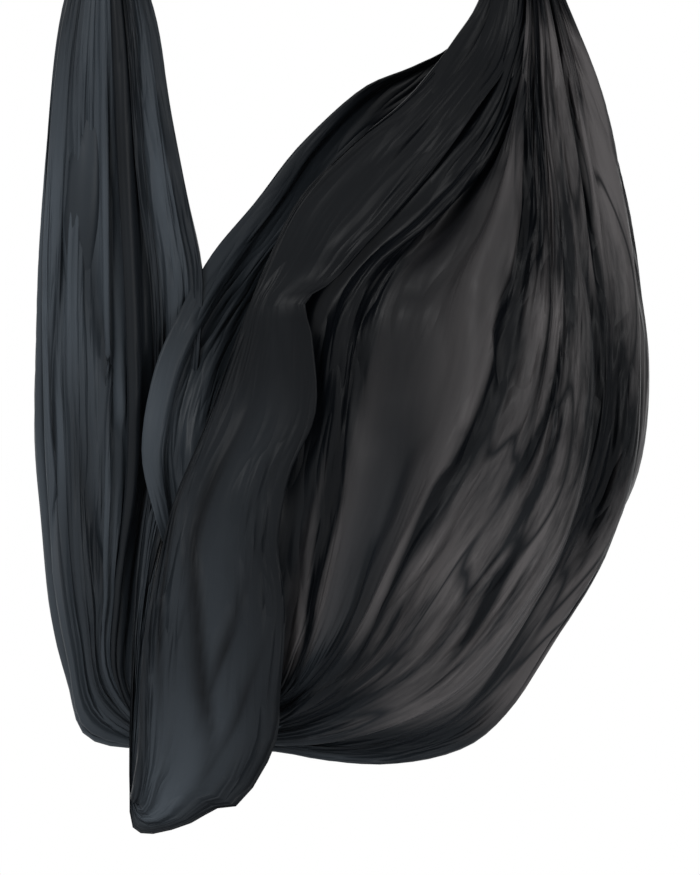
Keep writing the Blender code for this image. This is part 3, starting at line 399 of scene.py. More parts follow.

# where light showing through the cloth is painted, where a lighter lit colour and painted shade lie, and
# where it is crumpled. Each look has its places and values across the cloth, then its metres and values
# along it, and is the two's product
clothLooks = {
    "paintedSheerLight": (
        (0, 0.24, 0.34, 0.45, 0.53, 0.66, 1),
        (0.7, 0.75, 1, 1, 0.5, 0.35, 0.35),
        (0.0, 0.6, 0.9, 1.2, 1.45, 1.7, 1.85, 2.0, 2.1),
        (1.0, 0.9, 0.70, 0.66, 0.80, 1.30, 1.00, 0.60, 0.50),
    ),
    "fanBelowKnot": ((0.22, 0.28, 0.46, 0.52), (0, 1, 1, 0), (0.12, 0.3, 0.55, 0.9), (0.0, 0.90, 0.50, 0.0)),
    "smoothPatch": ((0.222, 0.238, 0.305, 0.325), (0, 1, 1, 0), (0.5, 0.75, 1.75, 1.95), (0, 1, 1, 0)),
    "crumpled": (
        (0, 0.12, 0.22, 0.31, 0.36, 0.52, 0.6, 1),
        (0.12, 0.15, 0.8, 0.8, 1.3, 1.6, 0.9, 0.6),
        (0.0, 0.5, 0.9, 1.5, 1.8, 2.1, 2.5, 4.3),
        (1.0, 1.0, 0.7, 0.6, 0.8, 1.0, 0.18, 0.10),
    ),
    "crumpledTail": ((0, 0.12, 0.15), (0.8, 0.8, 0), (1.3, 1.8), (0.2, 1)),
    # painted light: where light falls flat on the cloth, a lighter bluish colour is painted
    "lightened": (
        (0, 0.018, 0.04, 0.08, 0.1, 0.15, 0.22, 0.26, 0.6, 1),
        (0.15, 0.4, 1, 1, 0.45, 0.3, 0.1, 0.9, 0.9, 0.6),
        (0.5, 1.2, 1.7, 2.1, 2.6, 3.7, 4.3),
        (0.0, 0.05, 0.55, 0.85, 1.0, 1.0, 0.7),
    ),
    # more painted light on the back of the cloth
    "paintedLightBack": ((0.8, 0.88, 1.0), (0, 0.5, 0.7), (0.6, 1.0, 1.5, 2.0), (0.0, 0.6, 1.0, 0.2)),
    # painted shade: takes the painted lit colour off the bag's front
    "paintedShadeStreaks": ((0.22, 0.28, 0.5, 0.56), (0, 0.7, 0.7, 0), (2.1, 2.3), (1, 0)),
}
lookLevels = {
    "spreadFrom": 0.34,  # share of its flat width from which painted light showing through the cloth starts
    "spreadRise": 0.42,
    "layerEdge": ((0.0, 1.0, 1.35), (0.23, 0.215, 0.175)),  # metres along, where the lip ends across
    "layerFade": 0.04,
    # level of the painted through-light on the smooth patch
    "smoothPaintedLight": 0.53,
    "smoothCalm": 0.8,  # share of the crumples that the smooth patch is without
    # painted shade in the main folds' valleys and painted light on their ridges
    "foldShade": (0.86, 0.2),  # level, and how much it swings with the main folds
    # painted shade in the creases' dents, over the painted lit colour
    "dentShade": 0.9,
}


# where a strand leaves the throat: (knot + reach cos a, reach sin a, 0)
def seatPoint(knotX, seat):
    angle, reach = math.radians(seat[0]), seat[1]
    return (knotX + reach * math.cos(angle), reach * math.sin(angle), 0.0)


# all of a strand's stations and points, from the right throat to the left one
def strandPoints(strand, size):
    half = size["knotSpacing"] / 2
    stations, points = [0.0], [seatPoint(half, strand["rightSeat"])]
    for knotX, leg in ((half, strand["right"]), (-half, strand["left"])):
        stations += [row[0] for row in leg]
        points += [(knotX + row[1], row[2], -row[3]) for row in leg]
    stations.append(size["flatLength"])
    points.append(seatPoint(-half, strand["leftSeat"]))
    return stations, points


# 0 at the throat's height and 1 as far below it as the ceiling is above it
def dropShare(heights, throat):
    return np.clip((throat - heights) / -throat, 0.0, 1.0)


# smooth surface through the strands, shifted front to back until it hangs plumb below the knots
def clothMiddle(size, across, along):
    lines = np.array([smoothThrough(*strandPoints(strand, size), along) for strand in strands.values()])
    places = [strand["across"] for strand in strands.values()]
    grid = smoothThrough(places, lines.reshape(len(places), -1), across).reshape(len(across), len(along), 3)
    throat = size["throatHeight"]
    grid[:, :, 2] += throat
    area = np.linalg.norm(np.cross(np.diff(grid, axis=0)[:, :-1], np.diff(grid, axis=1)[:-1]), axis=2)
    middle = (grid[:-1, :-1] + grid[1:, 1:]) / 2
    offPlumb = (area * middle[:, :, 1]).sum() / (area * dropShare(middle[:, :, 2], throat)).sum()
    grid[:, :, 1] -= offPlumb * dropShare(grid[:, :, 2], throat)
    return grid


# running means over a window in each direction, done twice, with the edges held
def blurred(values, acrossSteps, alongSteps):
    for axis, steps in ((0, acrossSteps), (1, alongSteps)):
        for _ in range(2):
            pad = [(0, 0)] * values.ndim
            pad[axis] = (steps, steps)
            total = np.cumsum(np.pad(values, pad, mode="edge"), axis=axis)
            high = np.take(total, range(2 * steps, total.shape[axis]), axis=axis)
            low = np.take(total, range(0, total.shape[axis] - 2 * steps), axis=axis)
            values = (high - low) / (2 * steps)
    return values


# a sum of cosines with random directions and phases, about -1 to 1
def smoothNoise(random, across, along, acrossWaves, alongWaves, terms=10):
    total = np.zeros((len(across), len(along)))
    for _ in range(terms):
        a = random.uniform(-acrossWaves, acrossWaves)
        b = random.uniform(-alongWaves, alongWaves)
        start = random.uniform(0, 6.28)  # nearly a full turn
        total += np.cos(2 * math.pi * (a * across[:, None] + b * along[None, :] / along[-1]) + start)
    return total / math.sqrt(terms / 2)


# mean of cos(n a - turn sin a) round a circle, for orders 0 to 4 at each turn
def besselTable(turns):
    around = fullTurn(128)
    orders = np.arange(5)[:, None, None]
    return np.cos(orders * around - turns[None, :, None] * np.sin(around)).mean(axis=2)


# radians that rise by one turn for each fold, where fold widths differ by the unevenness
def unevenPhase(random, across, count, unevenness):
    widths = 1 + unevenness * random.uniform(-1, 1, count)
    edges = np.concatenate([[0.0], np.cumsum(widths) / widths.sum()])
    phase = np.interp(across, edges, 2 * math.pi * np.arange(count + 1))
    steps = len(across) // (3 * count)
    return blurred(phase[:, None], max(steps, 1), 1)[:, 0]


# a table's value at each place, straight between its rows and columns
def tableAt(table, across, along):
    rows = np.array([np.interp(along, foldStations, row) for row in table])
    return np.array([np.interp(across, foldPlaces, rows[:, k]) for k in range(len(along))]).T


# directions square to the surface, away from the bag's inside
def outwardsFrom(points, across, along):
    outwards = np.cross(np.gradient(points, along, axis=1), np.gradient(points, across, axis=0))
    return outwards / np.linalg.norm(outwards, axis=2)[:, :, None]


# meanders the surface across its width. A fold's direction swings by a turn angle whose mean cosine
# is the width filled over the cloth's own width, so each place folds as deep as its spare cloth
# asks. The swing's sums are the Bessel series: sideways J2 sin 2p + J4/2 sin 4p, and outwards 2 J1
# cos p + 2/3 J3 cos 3p, times the fold's own width over 2 pi
def layInFolds(points, across, along, phase, fullness, lean):
    sideways = np.gradient(points, across, axis=0)
    outwards = outwardsFrom(points, across, along)
    width = np.linalg.norm(sideways, axis=2)
    sideways = sideways / width[:, :, None]
    width = blurred(width, *clothFolds["widthBlur"])
    most = clothFolds["tightest"] * clothSize["flatWidth"] / width
    gather = np.clip(np.minimum(most, fullness), 1.0, None)
    turns = np.linspace(0.0, clothFolds["mostTurn"], 60)
    bessel = besselTable(turns)
    turn = np.interp(gather, 1 / bessel[0], turns)
    j1, j2, j3, j4 = (np.interp(turn, turns, bessel[k]) for k in (1, 2, 3, 4))
    swing = width / np.gradient(phase, across, axis=0) * gather
    out = swing * (2 * j1 * np.cos(phase) + 2 / 3 * j3 * np.cos(3 * phase))
    side = swing * (j2 * np.sin(2 * phase) + j4 / 2 * np.sin(4 * phase)) + lean * out
    return points + out[:, :, None] * outwards + side[:, :, None] * sideways


# exp of minus the squared flat distance over the half width, which is narrower on the side of the
# front selvedge, so that one edge is crisp. It fades at the crease's ends
def creaseShape(halfWidth, path, across, along):
    stations, places = np.array(path).T
    distance = (across[:, None] - np.interp(along, stations, places)) * clothSize["flatWidth"]
    ends = np.clip(np.minimum(along - stations[0], stations[-1] - along) / creaseFade, 0, 1)
    reach = halfWidth * np.where(distance < 0, creaseCrispness, 1.0)
    return np.exp(-((distance / reach) ** 2)) * ends


# depths of all creases added up, and what is left of the cloth's painted light under their painted
# shade: 1 - shade times shape, each crease's multiplied
def allCreases(across, along):
    dent, unshadedByCreases = 0.0, 1.0
    for halfWidth, depth, shade, path in creases.values():
        shape = creaseShape(halfWidth, path, across, along)
        dent = dent + depth * shape
        unshadedByCreases = unshadedByCreases * (1 - shade * shape)
    return dent, unshadedByCreases


# how much the narrow folds take up at each place: the table's share over 1, differing by noise
def fineFullnessAt(random, folds, across, along):
    least, rise = folds["takeUp"]
    evenness = np.interp(along, *folds["evenness"])
    noise = smoothNoise(random, across, along, *folds["takeUpWaves"])
    share = 0.5 + 0.5 * np.clip(noise, -1, 1)
    uneven = least + rise * share * (1 - evenness) + (1 - least) * evenness
    return 1 + (tableAt(fineFullness, across, along) - 1) * uneven


# a look's value across times its value along
def lookAt(name, across, along):
    places, acrossValues, stations, alongValues = clothLooks[name]
    return np.interp(across, places, acrossValues)[:, None] * np.interp(along, stations, alongValues)


# the looks' sums and products. Painted light shows through where one layer is spread wide, less over a
# second layer such as the lip's, and painted shade takes it and the painted lit colour away where a crease
# dents it
def shadeCloth(spread, mainPhase, unshadedByCreases, across, along):
    levels = lookLevels
    smooth = lookAt("smoothPatch", across, along)
    layerEdge = np.interp(along, *levels["layerEdge"])
    # painted light: light showing through where one layer is spread thin
    paintedSheerLight = np.clip((spread - levels["spreadFrom"]) / levels["spreadRise"], 0, 1)
    paintedSheerLight = paintedSheerLight * np.clip((across[:, None] - layerEdge) / levels["layerFade"], 0, 1)
    paintedSheerLight = paintedSheerLight * lookAt("paintedSheerLight", across, along) + lookAt("fanBelowKnot", across, along)
    paintedSheerLight = paintedSheerLight + (levels["smoothPaintedLight"] - paintedSheerLight) * smooth
    level, swing = levels["foldShade"]
    paintedSheerLight = paintedSheerLight * (level + swing * np.cos(mainPhase)) * unshadedByCreases
    crumple = lookAt("crumpled", across, along) + lookAt("crumpledTail", across, along)
    crumple = crumple * (1 - levels["smoothCalm"] * smooth)
    # painted light, taken away by the painted shade on the bag's front and the creases' painted shade
    lightened = lookAt("lightened", across, along) + lookAt("paintedLightBack", across, along)
    lightened = lightened * (1 - lookAt("paintedShadeStreaks", across, along))
    lightened = lightened * (1 - levels["dentShade"] * (1 - unshadedByCreases))
    return {"paintedSheerLight": np.clip(paintedSheerLight, 0, 1), "crumple": np.clip(crumple, 0, 1), "lightened": np.clip(lightened, 0, 1)}


# the middle surface with its main folds laid in, then the creases, then the narrow folds
def foldedCloth(size, folds):
    random = np.random.default_rng(folds["seed"])
    across = np.linspace(0.0, 1.0, size["rowsAcross"] + 1)
    along = np.linspace(0.0, size["flatLength"], size["columnsAlong"] + 1)
    points = clothMiddle(size, across, along)
    spread = np.linalg.norm(np.gradient(points, across, axis=0), axis=2) / size["flatWidth"]
    spread = blurred(spread, *folds["spreadBlur"])
    drift = np.interp(along, *folds["drift"])
    mainPhase = 2 * math.pi * folds["mainCount"] * (across[:, None] + drift) - math.pi / 2
    lean = folds["lean"] * smoothNoise(random, across, along, *folds["mainLeanWaves"])
    points = layInFolds(points, across, along, mainPhase, tableAt(mainFullness, across, along), lean)
    dent, unshadedByCreases = allCreases(across, along)
    points = points - dent[:, :, None] * outwardsFrom(points, across, along)
    finePhase = unevenPhase(random, across, folds["fineCount"], folds["unevenness"])[:, None]
    finePhase = finePhase + folds["wander"] * smoothNoise(random, across, along, *folds["wanderWaves"])
    fine = fineFullnessAt(random, folds, across, along)
    lean = folds["lean"] * smoothNoise(random, across, along, *folds["fineLeanWaves"])
    points = layInFolds(points, across, along, finePhase, fine, lean)
    uv = np.stack(np.broadcast_arrays(across[:, None] * size["flatWidth"], along[None, :]), axis=-1)
    return points, uv, shadeCloth(spread, mainPhase, unshadedByCreases, across, along)


points, uv, looks = foldedCloth(clothSize, clothFolds)
spans = np.cross(np.diff(points, axis=0)[:, :-1], np.diff(points, axis=1)[:-1])
print("cloth area, one side:", round(float(np.linalg.norm(spans, axis=2).sum()), 2), "square metres")

mergeDistance = 1e-6  # metres
sharpAngle = 40  # degrees between two faces from which their edge stays sharp


# points that lie on each other merged, faces turned outwards, and the result put into the mesh
def settleInto(mesh, shape):
    bmesh.ops.remove_doubles(shape, verts=shape.verts, dist=mergeDistance)
    bmesh.ops.recalc_face_normals(shape, faces=shape.faces)
    shape.to_mesh(mesh)
    shape.free()
    mesh.shade_smooth()


# the same for a mesh made from a grid or a list, where it lies
def fixNormals(mesh):
    shape = bmesh.new()
    shape.from_mesh(mesh)
    settleInto(mesh, shape)


# direction along a flat path, the direction square to its plane, and the third square to both
def frameAlong(path, closed):
    ahead = np.roll(path, -1, axis=0) - np.roll(path, 1, axis=0) if closed else np.gradient(path, axis=0)
    ahead = ahead / np.linalg.norm(ahead, axis=1)[:, None]
    flat = np.linalg.svd(path - path.mean(axis=0))[2][2]
    side = flat - ahead * (ahead @ flat)[:, None]
    side /= np.linalg.norm(side, axis=1)[:, None]
    return ahead, side, np.cross(ahead, side)


# each ring is centre + sideReach side + upReach up; on an open path both ends close to a point
def tubeGrid(path, sideReach, upReach, closed=False):
    path = np.asarray(path, dtype=float)
    ahead, side, up = frameAlong(path, closed)
    rings = path[:, None] + sideReach[:, :, None] * side[:, None] + upReach[:, :, None] * up[:, None]
    if closed:
        return rings
    ends = [np.repeat(path[k][None, None], rings.shape[1], axis=1) for k in (0, -1)]
    return np.concatenate([ends[0], rings, ends[1]])


# reaches are radius cos a and radius sin a; the radius may change with ring and angle
def roundTube(path, radius, sides, closed=False):
    angle = fullTurn(sides)
    radius = np.asarray(radius, dtype=float)
    radius = radius[:, None] if radius.ndim == 1 else radius
    radius = np.broadcast_to(radius, (len(path), sides))
    return tubeGrid(path, radius * np.cos(angle), radius * np.sin(angle), closed)


# distance walked from the path's first point to each of its points
def lengthAlong(path):
    steps = np.linalg.norm(np.diff(path, axis=0), axis=1)
    return np.concatenate([[0.0], np.cumsum(steps)])


# bar radius near its ends: radius - rounding + the rounding's quarter circle
def endRounding(path, radius, rounding):
    along = lengthAlong(path)
    near = np.clip(np.minimum(along, along[-1] - along), 0.0, rounding)
    return radius - rounding + np.sqrt(rounding**2 - (rounding - near) ** 2)


# points at even lengths along the path, closer together in the first and last few millimetres
def withFineEnds(path, count, fineSteps=(0.0, 0.0003, 0.0008, 0.0015), fineLength=0.003):
    along = lengthAlong(path)
    fine = np.array(fineSteps)
    middle = np.linspace(fineLength, along[-1] - fineLength, count)
    stations = np.concatenate([fine, middle, along[-1] - fine[::-1]])
    return np.stack([np.interp(stations, along, path[:, k]) for k in range(3)], axis=1)


# centre + (radius cos a, radius sin a), with the angles in degrees
def arcPoints(centre, radius, start, stop, count):
    angle = np.radians(np.linspace(start, stop, count))
    return np.stack([centre[0] + radius * np.cos(angle), centre[1] + radius * np.sin(angle)], axis=1)


# even steps from start to just short of stop
def straightPoints(start, stop, count):
    return np.linspace(start, stop, count + 1)[:-1]


# two columns put into the xz or the yz plane, about a place
def inPlane(profile, plane, place):
    points = np.zeros((len(profile), 3))
    points[:, 0 if plane == "xz" else 1] = profile[:, 0]
    points[:, 2] = profile[:, 1]
    return points + np.array(place)


# place + (radius cos a, radius sin a, height), for radii, heights and angles that fit each other
def roundAbout(radius, height, angle, place=(0.0, 0.0, 0.0)):
    columns = np.broadcast_arrays(radius * np.cos(angle), radius * np.sin(angle), height)
    return np.stack(columns, axis=-1) + np.array(place)


# a circle about the upright axis whose height leans with its x: height is lean times reach cos a
def levelRing(centre, reach, count, lean=0.0):
    turn = fullTurn(count)
    return roundAbout(reach, lean * reach * np.cos(turn), turn, centre)


# 1 plus each row's part times cos(count times the angle plus shift times where)
def lumpy(rows, angle, where):
    total = 1.0
    for part, count, shift in rows:
        total = total + part * np.cos(count * angle + shift * where)
    return total


# columns of radius and height carried round the z axis, or the x axis
def lathe(profile, angles, axis, place):
    grid = roundAbout(profile[:, :1], profile[:, 1:], fullTurn(angles))
    return (grid[..., [2, 0, 1]] if axis == "x" else grid) + np.array(place)


# a flat plate in the yz plane: its outline shrunk by a bevel at both faces, closed in the middle
def slab(outline, thickness, bevel, place):
    centre = outline.mean(axis=0)
    reach = outline - centre
    shrink = 1 - bevel / np.linalg.norm(reach, axis=1, keepdims=True)
    half = thickness / 2
    rows = [(0.0, half), (shrink, half), (1.0, half - bevel)]
    rings = []
    for scale, x in [(scale, -x) for scale, x in rows] + rows[::-1]:
        flat = centre + reach * scale
        rings.append(np.stack([np.full(len(flat), x), flat[:, 0], flat[:, 1]], axis=1))
    return np.array(rings) + np.array(place)


# half a circle below its centre, carried straight up to a height
def stadium(centre, radius, top, count=16):
    low = arcPoints(centre, radius, 180, 360, count)
    return np.vstack([low, [(centre[0] + radius, top), (centre[0] - radius, top)]])


# one piece of grids that close round; rings holds those whose rows join up too
def addJoined(name, material, body, replaced, grids, rings=()):
    shape = bmesh.new()
    for points, closeRows in [(grid, False) for grid in grids] + [(ring, True) for ring in rings]:
        single = meshFromGrid(name, points, closeRows=closeRows, closeColumns=True)
        shape.from_mesh(single)
        bpy.data.meshes.remove(single)
    mesh = bpy.data.meshes.new(name)
    settleInto(mesh, shape)
    mesh.set_sharp_from_angle(angle=math.radians(sharpAngle))
    addPiece(name, mesh, material, body, [replaced])


# rings as (share of the way along the tube, share of its radius), and a direction that no tube has
tubeRings = ((0.0, 0.0), (0.0, 0.55), (0.15, 1.0), (0.85, 1.0), (1.0, 0.55), (1.0, 0.0))
noTubeDirection = (0.31, 0.93, 0.2)


# short round-ended tubes from starts to stops as one mesh: each ring's points are start + share
# times ahead + radius (cos a across + sin a up), with across and up square to the tube
def manyTubes(name, starts, stops, radius, sides=6):
    ahead = stops - starts
    across = np.cross(ahead, noTubeDirection)
    across /= np.linalg.norm(across, axis=1, keepdims=True)
    up = np.cross(ahead, across)
    up /= np.linalg.norm(up, axis=1, keepdims=True)
    angle = fullTurn(sides)[None, :, None]
    ring = np.cos(angle) * across[:, None] + np.sin(angle) * up[:, None]
    share, reach = np.array(tubeRings).T[:, None, :, None, None]
    reach = radius * reach
    points = starts[:, None, None] + ahead[:, None, None] * share + ring[:, None] * reach
    number = np.arange(points[..., 0].size).reshape(points.shape[:3])
    after = np.roll(number, -1, axis=2)
    quads = np.stack([number[:, :-1], number[:, 1:], after[:, 1:], after[:, :-1]], axis=-1)
    mesh = bpy.data.meshes.new(name)
    mesh.from_pydata(points.reshape(-1, 3).tolist(), [], quads.reshape(-1, 4).tolist())
    fixNormals(mesh)
    return mesh


# heights down each side, in metres below the ceiling, and the two sides
hanger = {
    "eyeWire": -0.0450,
    "upperTopBar": -0.0342,
    "upperLowBar": -0.1332,
    "lowerTopBar": -0.6012,
    "lowerLowBar": -0.7002,
    "throat": -0.8202,
    "sides": {"left": -0.455, "right": 0.455},
}

eyeSize = {
    "wire": 0.005,  # radius of the bar
    "bend": 0.021,  # from the middle to each leg
    "endRounding": 0.0008,
    "plateUnder": -0.006,
    "legTop": -0.001,
    "beadRadius": 0.0022,  # of the weld round each leg
    "beadSunk": 0.35,  # share of its radius by which the bead's middle is below the plate
    "beadGap": 0.0006,  # from the bar to the bead's middle
    # (share of the radius, lumps a turn, radians of shift to a metre across)
    "beadLumps": ((0.12, 9, 100.0), (0.06, 23, 100.0)),
    # counts of points: a leg, half of the bend, round the bar, along a bead and round it
    "legRings": 10,
    "bendRings": 24,
    "sides": 24,
    "beadRings": 48,
    "beadSides": 12,
}


# a U of round bar in the plate's holes, with a bead of weld round each leg under the plate
def makeEye(side, x, material):
    size = eyeSize
    bend, middle = size["bend"], hanger["eyeWire"] + size["bend"]
    leg = straightPoints((-bend, size["legTop"]), (-bend, middle), size["legRings"])
    half = np.vstack([leg, arcPoints((0, middle), bend, 180, 270, size["bendRings"])])
    path = inPlane(np.vstack([half, half[-2::-1] * (-1, 1)]), "xz", (x, 0, 0))
    bar = roundTube(path, endRounding(path, size["wire"], size["endRounding"]), size["sides"])
    turn, beads = fullTurn(size["beadRings"]), []
    for legX in (-bend, bend):
        centre = (x + legX, 0, size["plateUnder"] - size["beadSunk"] * size["beadRadius"])
        ring = levelRing(centre, size["wire"] + size["beadGap"], len(turn))
        radius = size["beadRadius"] * lumpy(size["beadLumps"], turn, legX)
        beads.append(roundTube(ring, radius, size["beadSides"], closed=True))
    addJoined(f"{side}Eye", material, "root", f"{side}_eye", [bar], beads)


screwSize = {
    "count": 4,
    "circle": 0.030,
    "shank": 0.0030,
    "core": 0.0022,
    "length": 0.045,
    "plainLength": 0.012,
    "tip": 0.006,
    "threadPitch": 0.0026,
    "threadStart": 0.0005,  # from the plain shank's end
    "threadWidth": 0.4,  # share of a pitch that the ridge covers
    "acrossFlats": 0.010,
    "headTop": -0.0063,
    "headHeight": 0.004,
    # (height above the head's underside, share of the head's corner radius that is left there)
    "headRows": ((0.0, 0.80), (0.0004, 0.93), (0.0012, 1.01), (0.0038, 1.01), (0.0040, 1.0)),
    "sides": 36,
    "shankRings": 6,
    "threadRings": 90,
}


# a coach screw. The head's radius at an angle is half its width over cos of the angle from the
# nearest flat, cut down to the chamfer; the thread's is core plus a ridge that climbs a pitch a turn
def screwGrid(size):
    turn = fullTurn(size["sides"])
    top, low = size["headTop"], size["headTop"] - size["headHeight"]
    hexagon = size["acrossFlats"] / 2 / np.cos(np.mod(turn, math.pi / 3) - math.pi / 6)
    corner = size["acrossFlats"] / math.sqrt(3)
    head = [0 * turn] + [np.minimum(hexagon, corner * share) for above, share in size["headRows"]]
    headZ = [low] + [low + above for above, share in size["headRows"]]
    shankZ = np.linspace(top, top + size["plainLength"], size["shankRings"])
    threadZ = np.linspace(shankZ[-1] + size["threadStart"], top + size["length"], size["threadRings"])
    taper = np.clip((threadZ[-1] - threadZ) / size["tip"], 0.0, 1.0)[:, None]
    climb = np.mod(threadZ[:, None] / size["threadPitch"] - turn / (2 * math.pi), 1.0)
    ridge = np.clip(1 - np.abs(climb - 0.5) * 2 / size["threadWidth"], 0.0, 1.0)
    thread = (size["core"] + (size["shank"] - size["core"]) * ridge) * taper
    shank = np.full((len(shankZ), len(turn)), size["shank"])
    radius = np.vstack([head, shank, thread])
    return roundAbout(radius, np.concatenate([headZ, shankZ, threadZ])[:, None], turn)


# the same screw at even turns round the plate's middle: (reach cos a, reach sin a)
def makeScrews(side, x, material):
    screw = screwGrid(screwSize)
    for number in range(screwSize["count"]):
        angle = math.pi * (2 * number + 1) / screwSize["count"]
        reach = screwSize["circle"]
        place = np.array([x + reach * math.cos(angle), reach * math.sin(angle), 0.0])
        name, replaced = f"{side}Screw{number + 1}", f"{side}_screw_{number + 1}"
        addJoined(name, material, "root", replaced, [screw + place])


carabinerSize = {
    "bar": 0.0055,
    "bend": 0.0215,
    "straight": 0.056,
    "noseDrop": 0.002,
    "noseRounding": 0.0015,
    "shoulder": -0.0274,
    "pinHeight": -0.0202,
    # (radius, height above the gate's side) of the pin's riveted end, out to its full radius
    "pinDome": ((0.0, 0.0004), (0.0009, 0.0003), (0.0014, 0.0), (0.0015, -0.0002)),
    "tang": 0.0038,
    "tangInBar": 0.004,  # how far the tang reaches up into the bar's end
    "tangThickness": 0.004,
    "tangBevel": 0.0004,
    # counts of points: along the bar's line, then rings and sides of the bar itself
    "shoulderPoints": 3,
    "bendPoints": 40,
    "backPoints": 16,
    "nosePoints": 3,
    "rings": 140,
    "sides": 24,
    "pinSides": 18,
}
gateSize = {
    "radius": 0.0045,
    "length": 0.0453,
    "overTang": 0.0008,  # gap between the tang's end and the gate's bottom
    "groove": 0.0003,
    "grooves": (0.30, 0.77),  # places along the gate
    "grooveWidth": 0.0016,
    "endBevel": 0.001,
    "fork": 0.0042,
    "slot": 0.0024,
    "forkBevel": 0.0003,
    "forkInStem": 0.001,
    "sides": 28,
}


# the bar's line: up the gate's side to the shoulder, and round both bends from there to the nose
def carabinerPath(size, place):
    bend, half = size["bend"], size["straight"] / 2
    profile = np.vstack([
        straightPoints((-bend, size["shoulder"]), (-bend, -half), size["shoulderPoints"]),
        arcPoints((0, -half), bend, 180, 360, size["bendPoints"])[:-1],
        straightPoints((bend, -half), (bend, half), size["backPoints"]),
        arcPoints((0, half), bend, 0, 180, size["bendPoints"])[:-1],
        np.linspace((-bend, half), (-bend, half - size["noseDrop"]), size["nosePoints"]),
    ])
    return withFineEnds(inPlane(profile, "yz", place), size["rings"])


# radius and height of the gate's round stem: square ends with a small bevel, and shallow grooves
def gateProfile(size, bottom):
    radius, length, groove = size["radius"], size["length"], size["groove"]
    rows = [(0, bottom), (radius - groove, bottom), (radius, bottom + groove)]
    for share in size["grooves"]:
        middle, half = share * length, size["grooveWidth"] / 2
        rows += [(radius, middle - half), (radius - groove, middle - half + groove)]
        rows += [(radius - groove, middle + half - groove), (radius, middle + half)]
    bevel = size["endBevel"]
    rows += [(radius, length - bevel), (radius - groove, length - groove)]
    rows += [(radius - bevel, length), (0, length)]
    return np.array(rows)


# a bent bar with a flat tang at one end, and a sprung gate between the tang and the nose
def makeCarabiner(side, level, x, topBar, bodyName, material, pinMaterial):
    size, gate = carabinerSize, gateSize
    name, node = f"{side}{level.title()}", f"{side}_{level}"
    bend = size["bend"]
    place = (x, 0, topBar - bend - size["straight"] / 2)
    path = carabinerPath(size, place)
    body = roundTube(path, endRounding(path, size["bar"], size["noseRounding"]), size["sides"])
    tangTop = size["tangInBar"] - size["shoulder"]
    outline = stadium((-bend, -size["pinHeight"]), size["tang"], tangTop) * (1, -1)
    tang = slab(outline, size["tangThickness"], size["tangBevel"], place)
    addJoined(f"{name}Body", material, bodyName, f"{node}_body", [body, tang])

    pinPlace = (x, -bend, place[2] + size["pinHeight"])
    bottom = size["tang"] + gate["overTang"]
    grids = [lathe(gateProfile(gate, bottom), gate["sides"], "z", pinPlace)]
    ear = stadium((0.0, 0.0), gate["radius"], bottom + gate["forkInStem"])
    for sign in (-1, 1):
        earPlace = (x + sign * (gate["fork"] + gate["slot"]) / 2, pinPlace[1], pinPlace[2])
        grids.append(slab(ear, gate["fork"] - gate["slot"], gate["forkBevel"], earPlace))
    addJoined(f"{name}Gate", material, f"{node}_gate", f"{node}_gate", grids)

    dome = [(radius, -gate["fork"] - height) for radius, height in size["pinDome"]]
    rows = dome + [(radius, -height) for radius, height in dome[::-1]]
    pin = lathe(np.array(rows), size["pinSides"], "x", pinPlace)
    addJoined(f"{name}Pin", pinMaterial, bodyName, f"{node}_pin", [pin])


strapSize = {
    "thickness": 0.0025,
    "width": 0.025,
    "loopWidth": 0.012,
    "loopLength": 0.045,
    "taper": 0.030,  # length in which the loop's narrowed webbing comes back to its width
    "overBar": 0.0070,
    # (distance from the bar's middle, share of the loop's reach that is left): the loop closes up
    "loopShape": ((0.0, 1.0), (0.008, 0.96), (0.020, 0.66), (0.033, 0.36)),
    "sewnFlat": 0.010,  # length in which the two layers come flat together
    "squareness": 0.4,  # power that squares off the webbing's round section
    "drawnThin": 0.98,  # share of its thickness that the webbing keeps
    # counts of points: the arc over a bar, the closing loop, the sewn middle, and round the webbing
    "arcRings": 18,
    "loopRings": 30,
    "middleRings": 120,
    "sides": 28,
}
stitchSize = {
    "threadRadius": 0.00045,
    "pitch": 0.0032,
    "length": 0.0026,
    "halfWidth": 0.0085,
    "proud": 0.0001,  # height of a stitch's middle over the webbing
    "fromBar": (0.082, 0.112),  # where the sewn box starts and ends
    # the box and its cross, as (side, share of the way down)
    "corners": ((-1, 0), (1, 0), (1, 1), (-1, 1), (-1, 0), (1, 1), (-1, 1), (1, 0)),
}


# half of the loop's line: an arc over the top bar, in to the sewn middle, and out to the low bar.
# The return is the same line mirrored
def strapProfile(size, top, bottom):
    half, bar = size["thickness"] / 2, size["overBar"] + size["thickness"] / 2
    sewnFrom = size["loopLength"]
    stations = [drop for drop, share in size["loopShape"]] + [sewnFrom, sewnFrom + size["sewnFlat"]]
    reach = [bar * share for drop, share in size["loopShape"]] + [half, half]
    drops = np.linspace(0.0, stations[-1], size["loopRings"])[1:]
    inner = smoothThrough(stations, np.array(reach)[:, None], drops)[:, 0]
    middle = np.linspace(top - stations[-1], bottom + stations[-1], size["middleRings"])[1:-1]
    right = np.vstack([
        arcPoints((0, top), bar, 90, 0, size["arcRings"]),
        np.stack([inner, top - drops], axis=1),
        np.stack([0 * middle + half, middle], axis=1),
        np.stack([inner, bottom + drops], axis=1)[::-1],
        arcPoints((0, bottom), bar, 0, -90, size["arcRings"]),
    ])
    return np.vstack([right, right[-2:0:-1] * (-1, 1)])


# a round value pushed towards its limits, which squares a circle off
def squaredOff(value, power):
    return np.sign(value) * np.abs(value) ** power


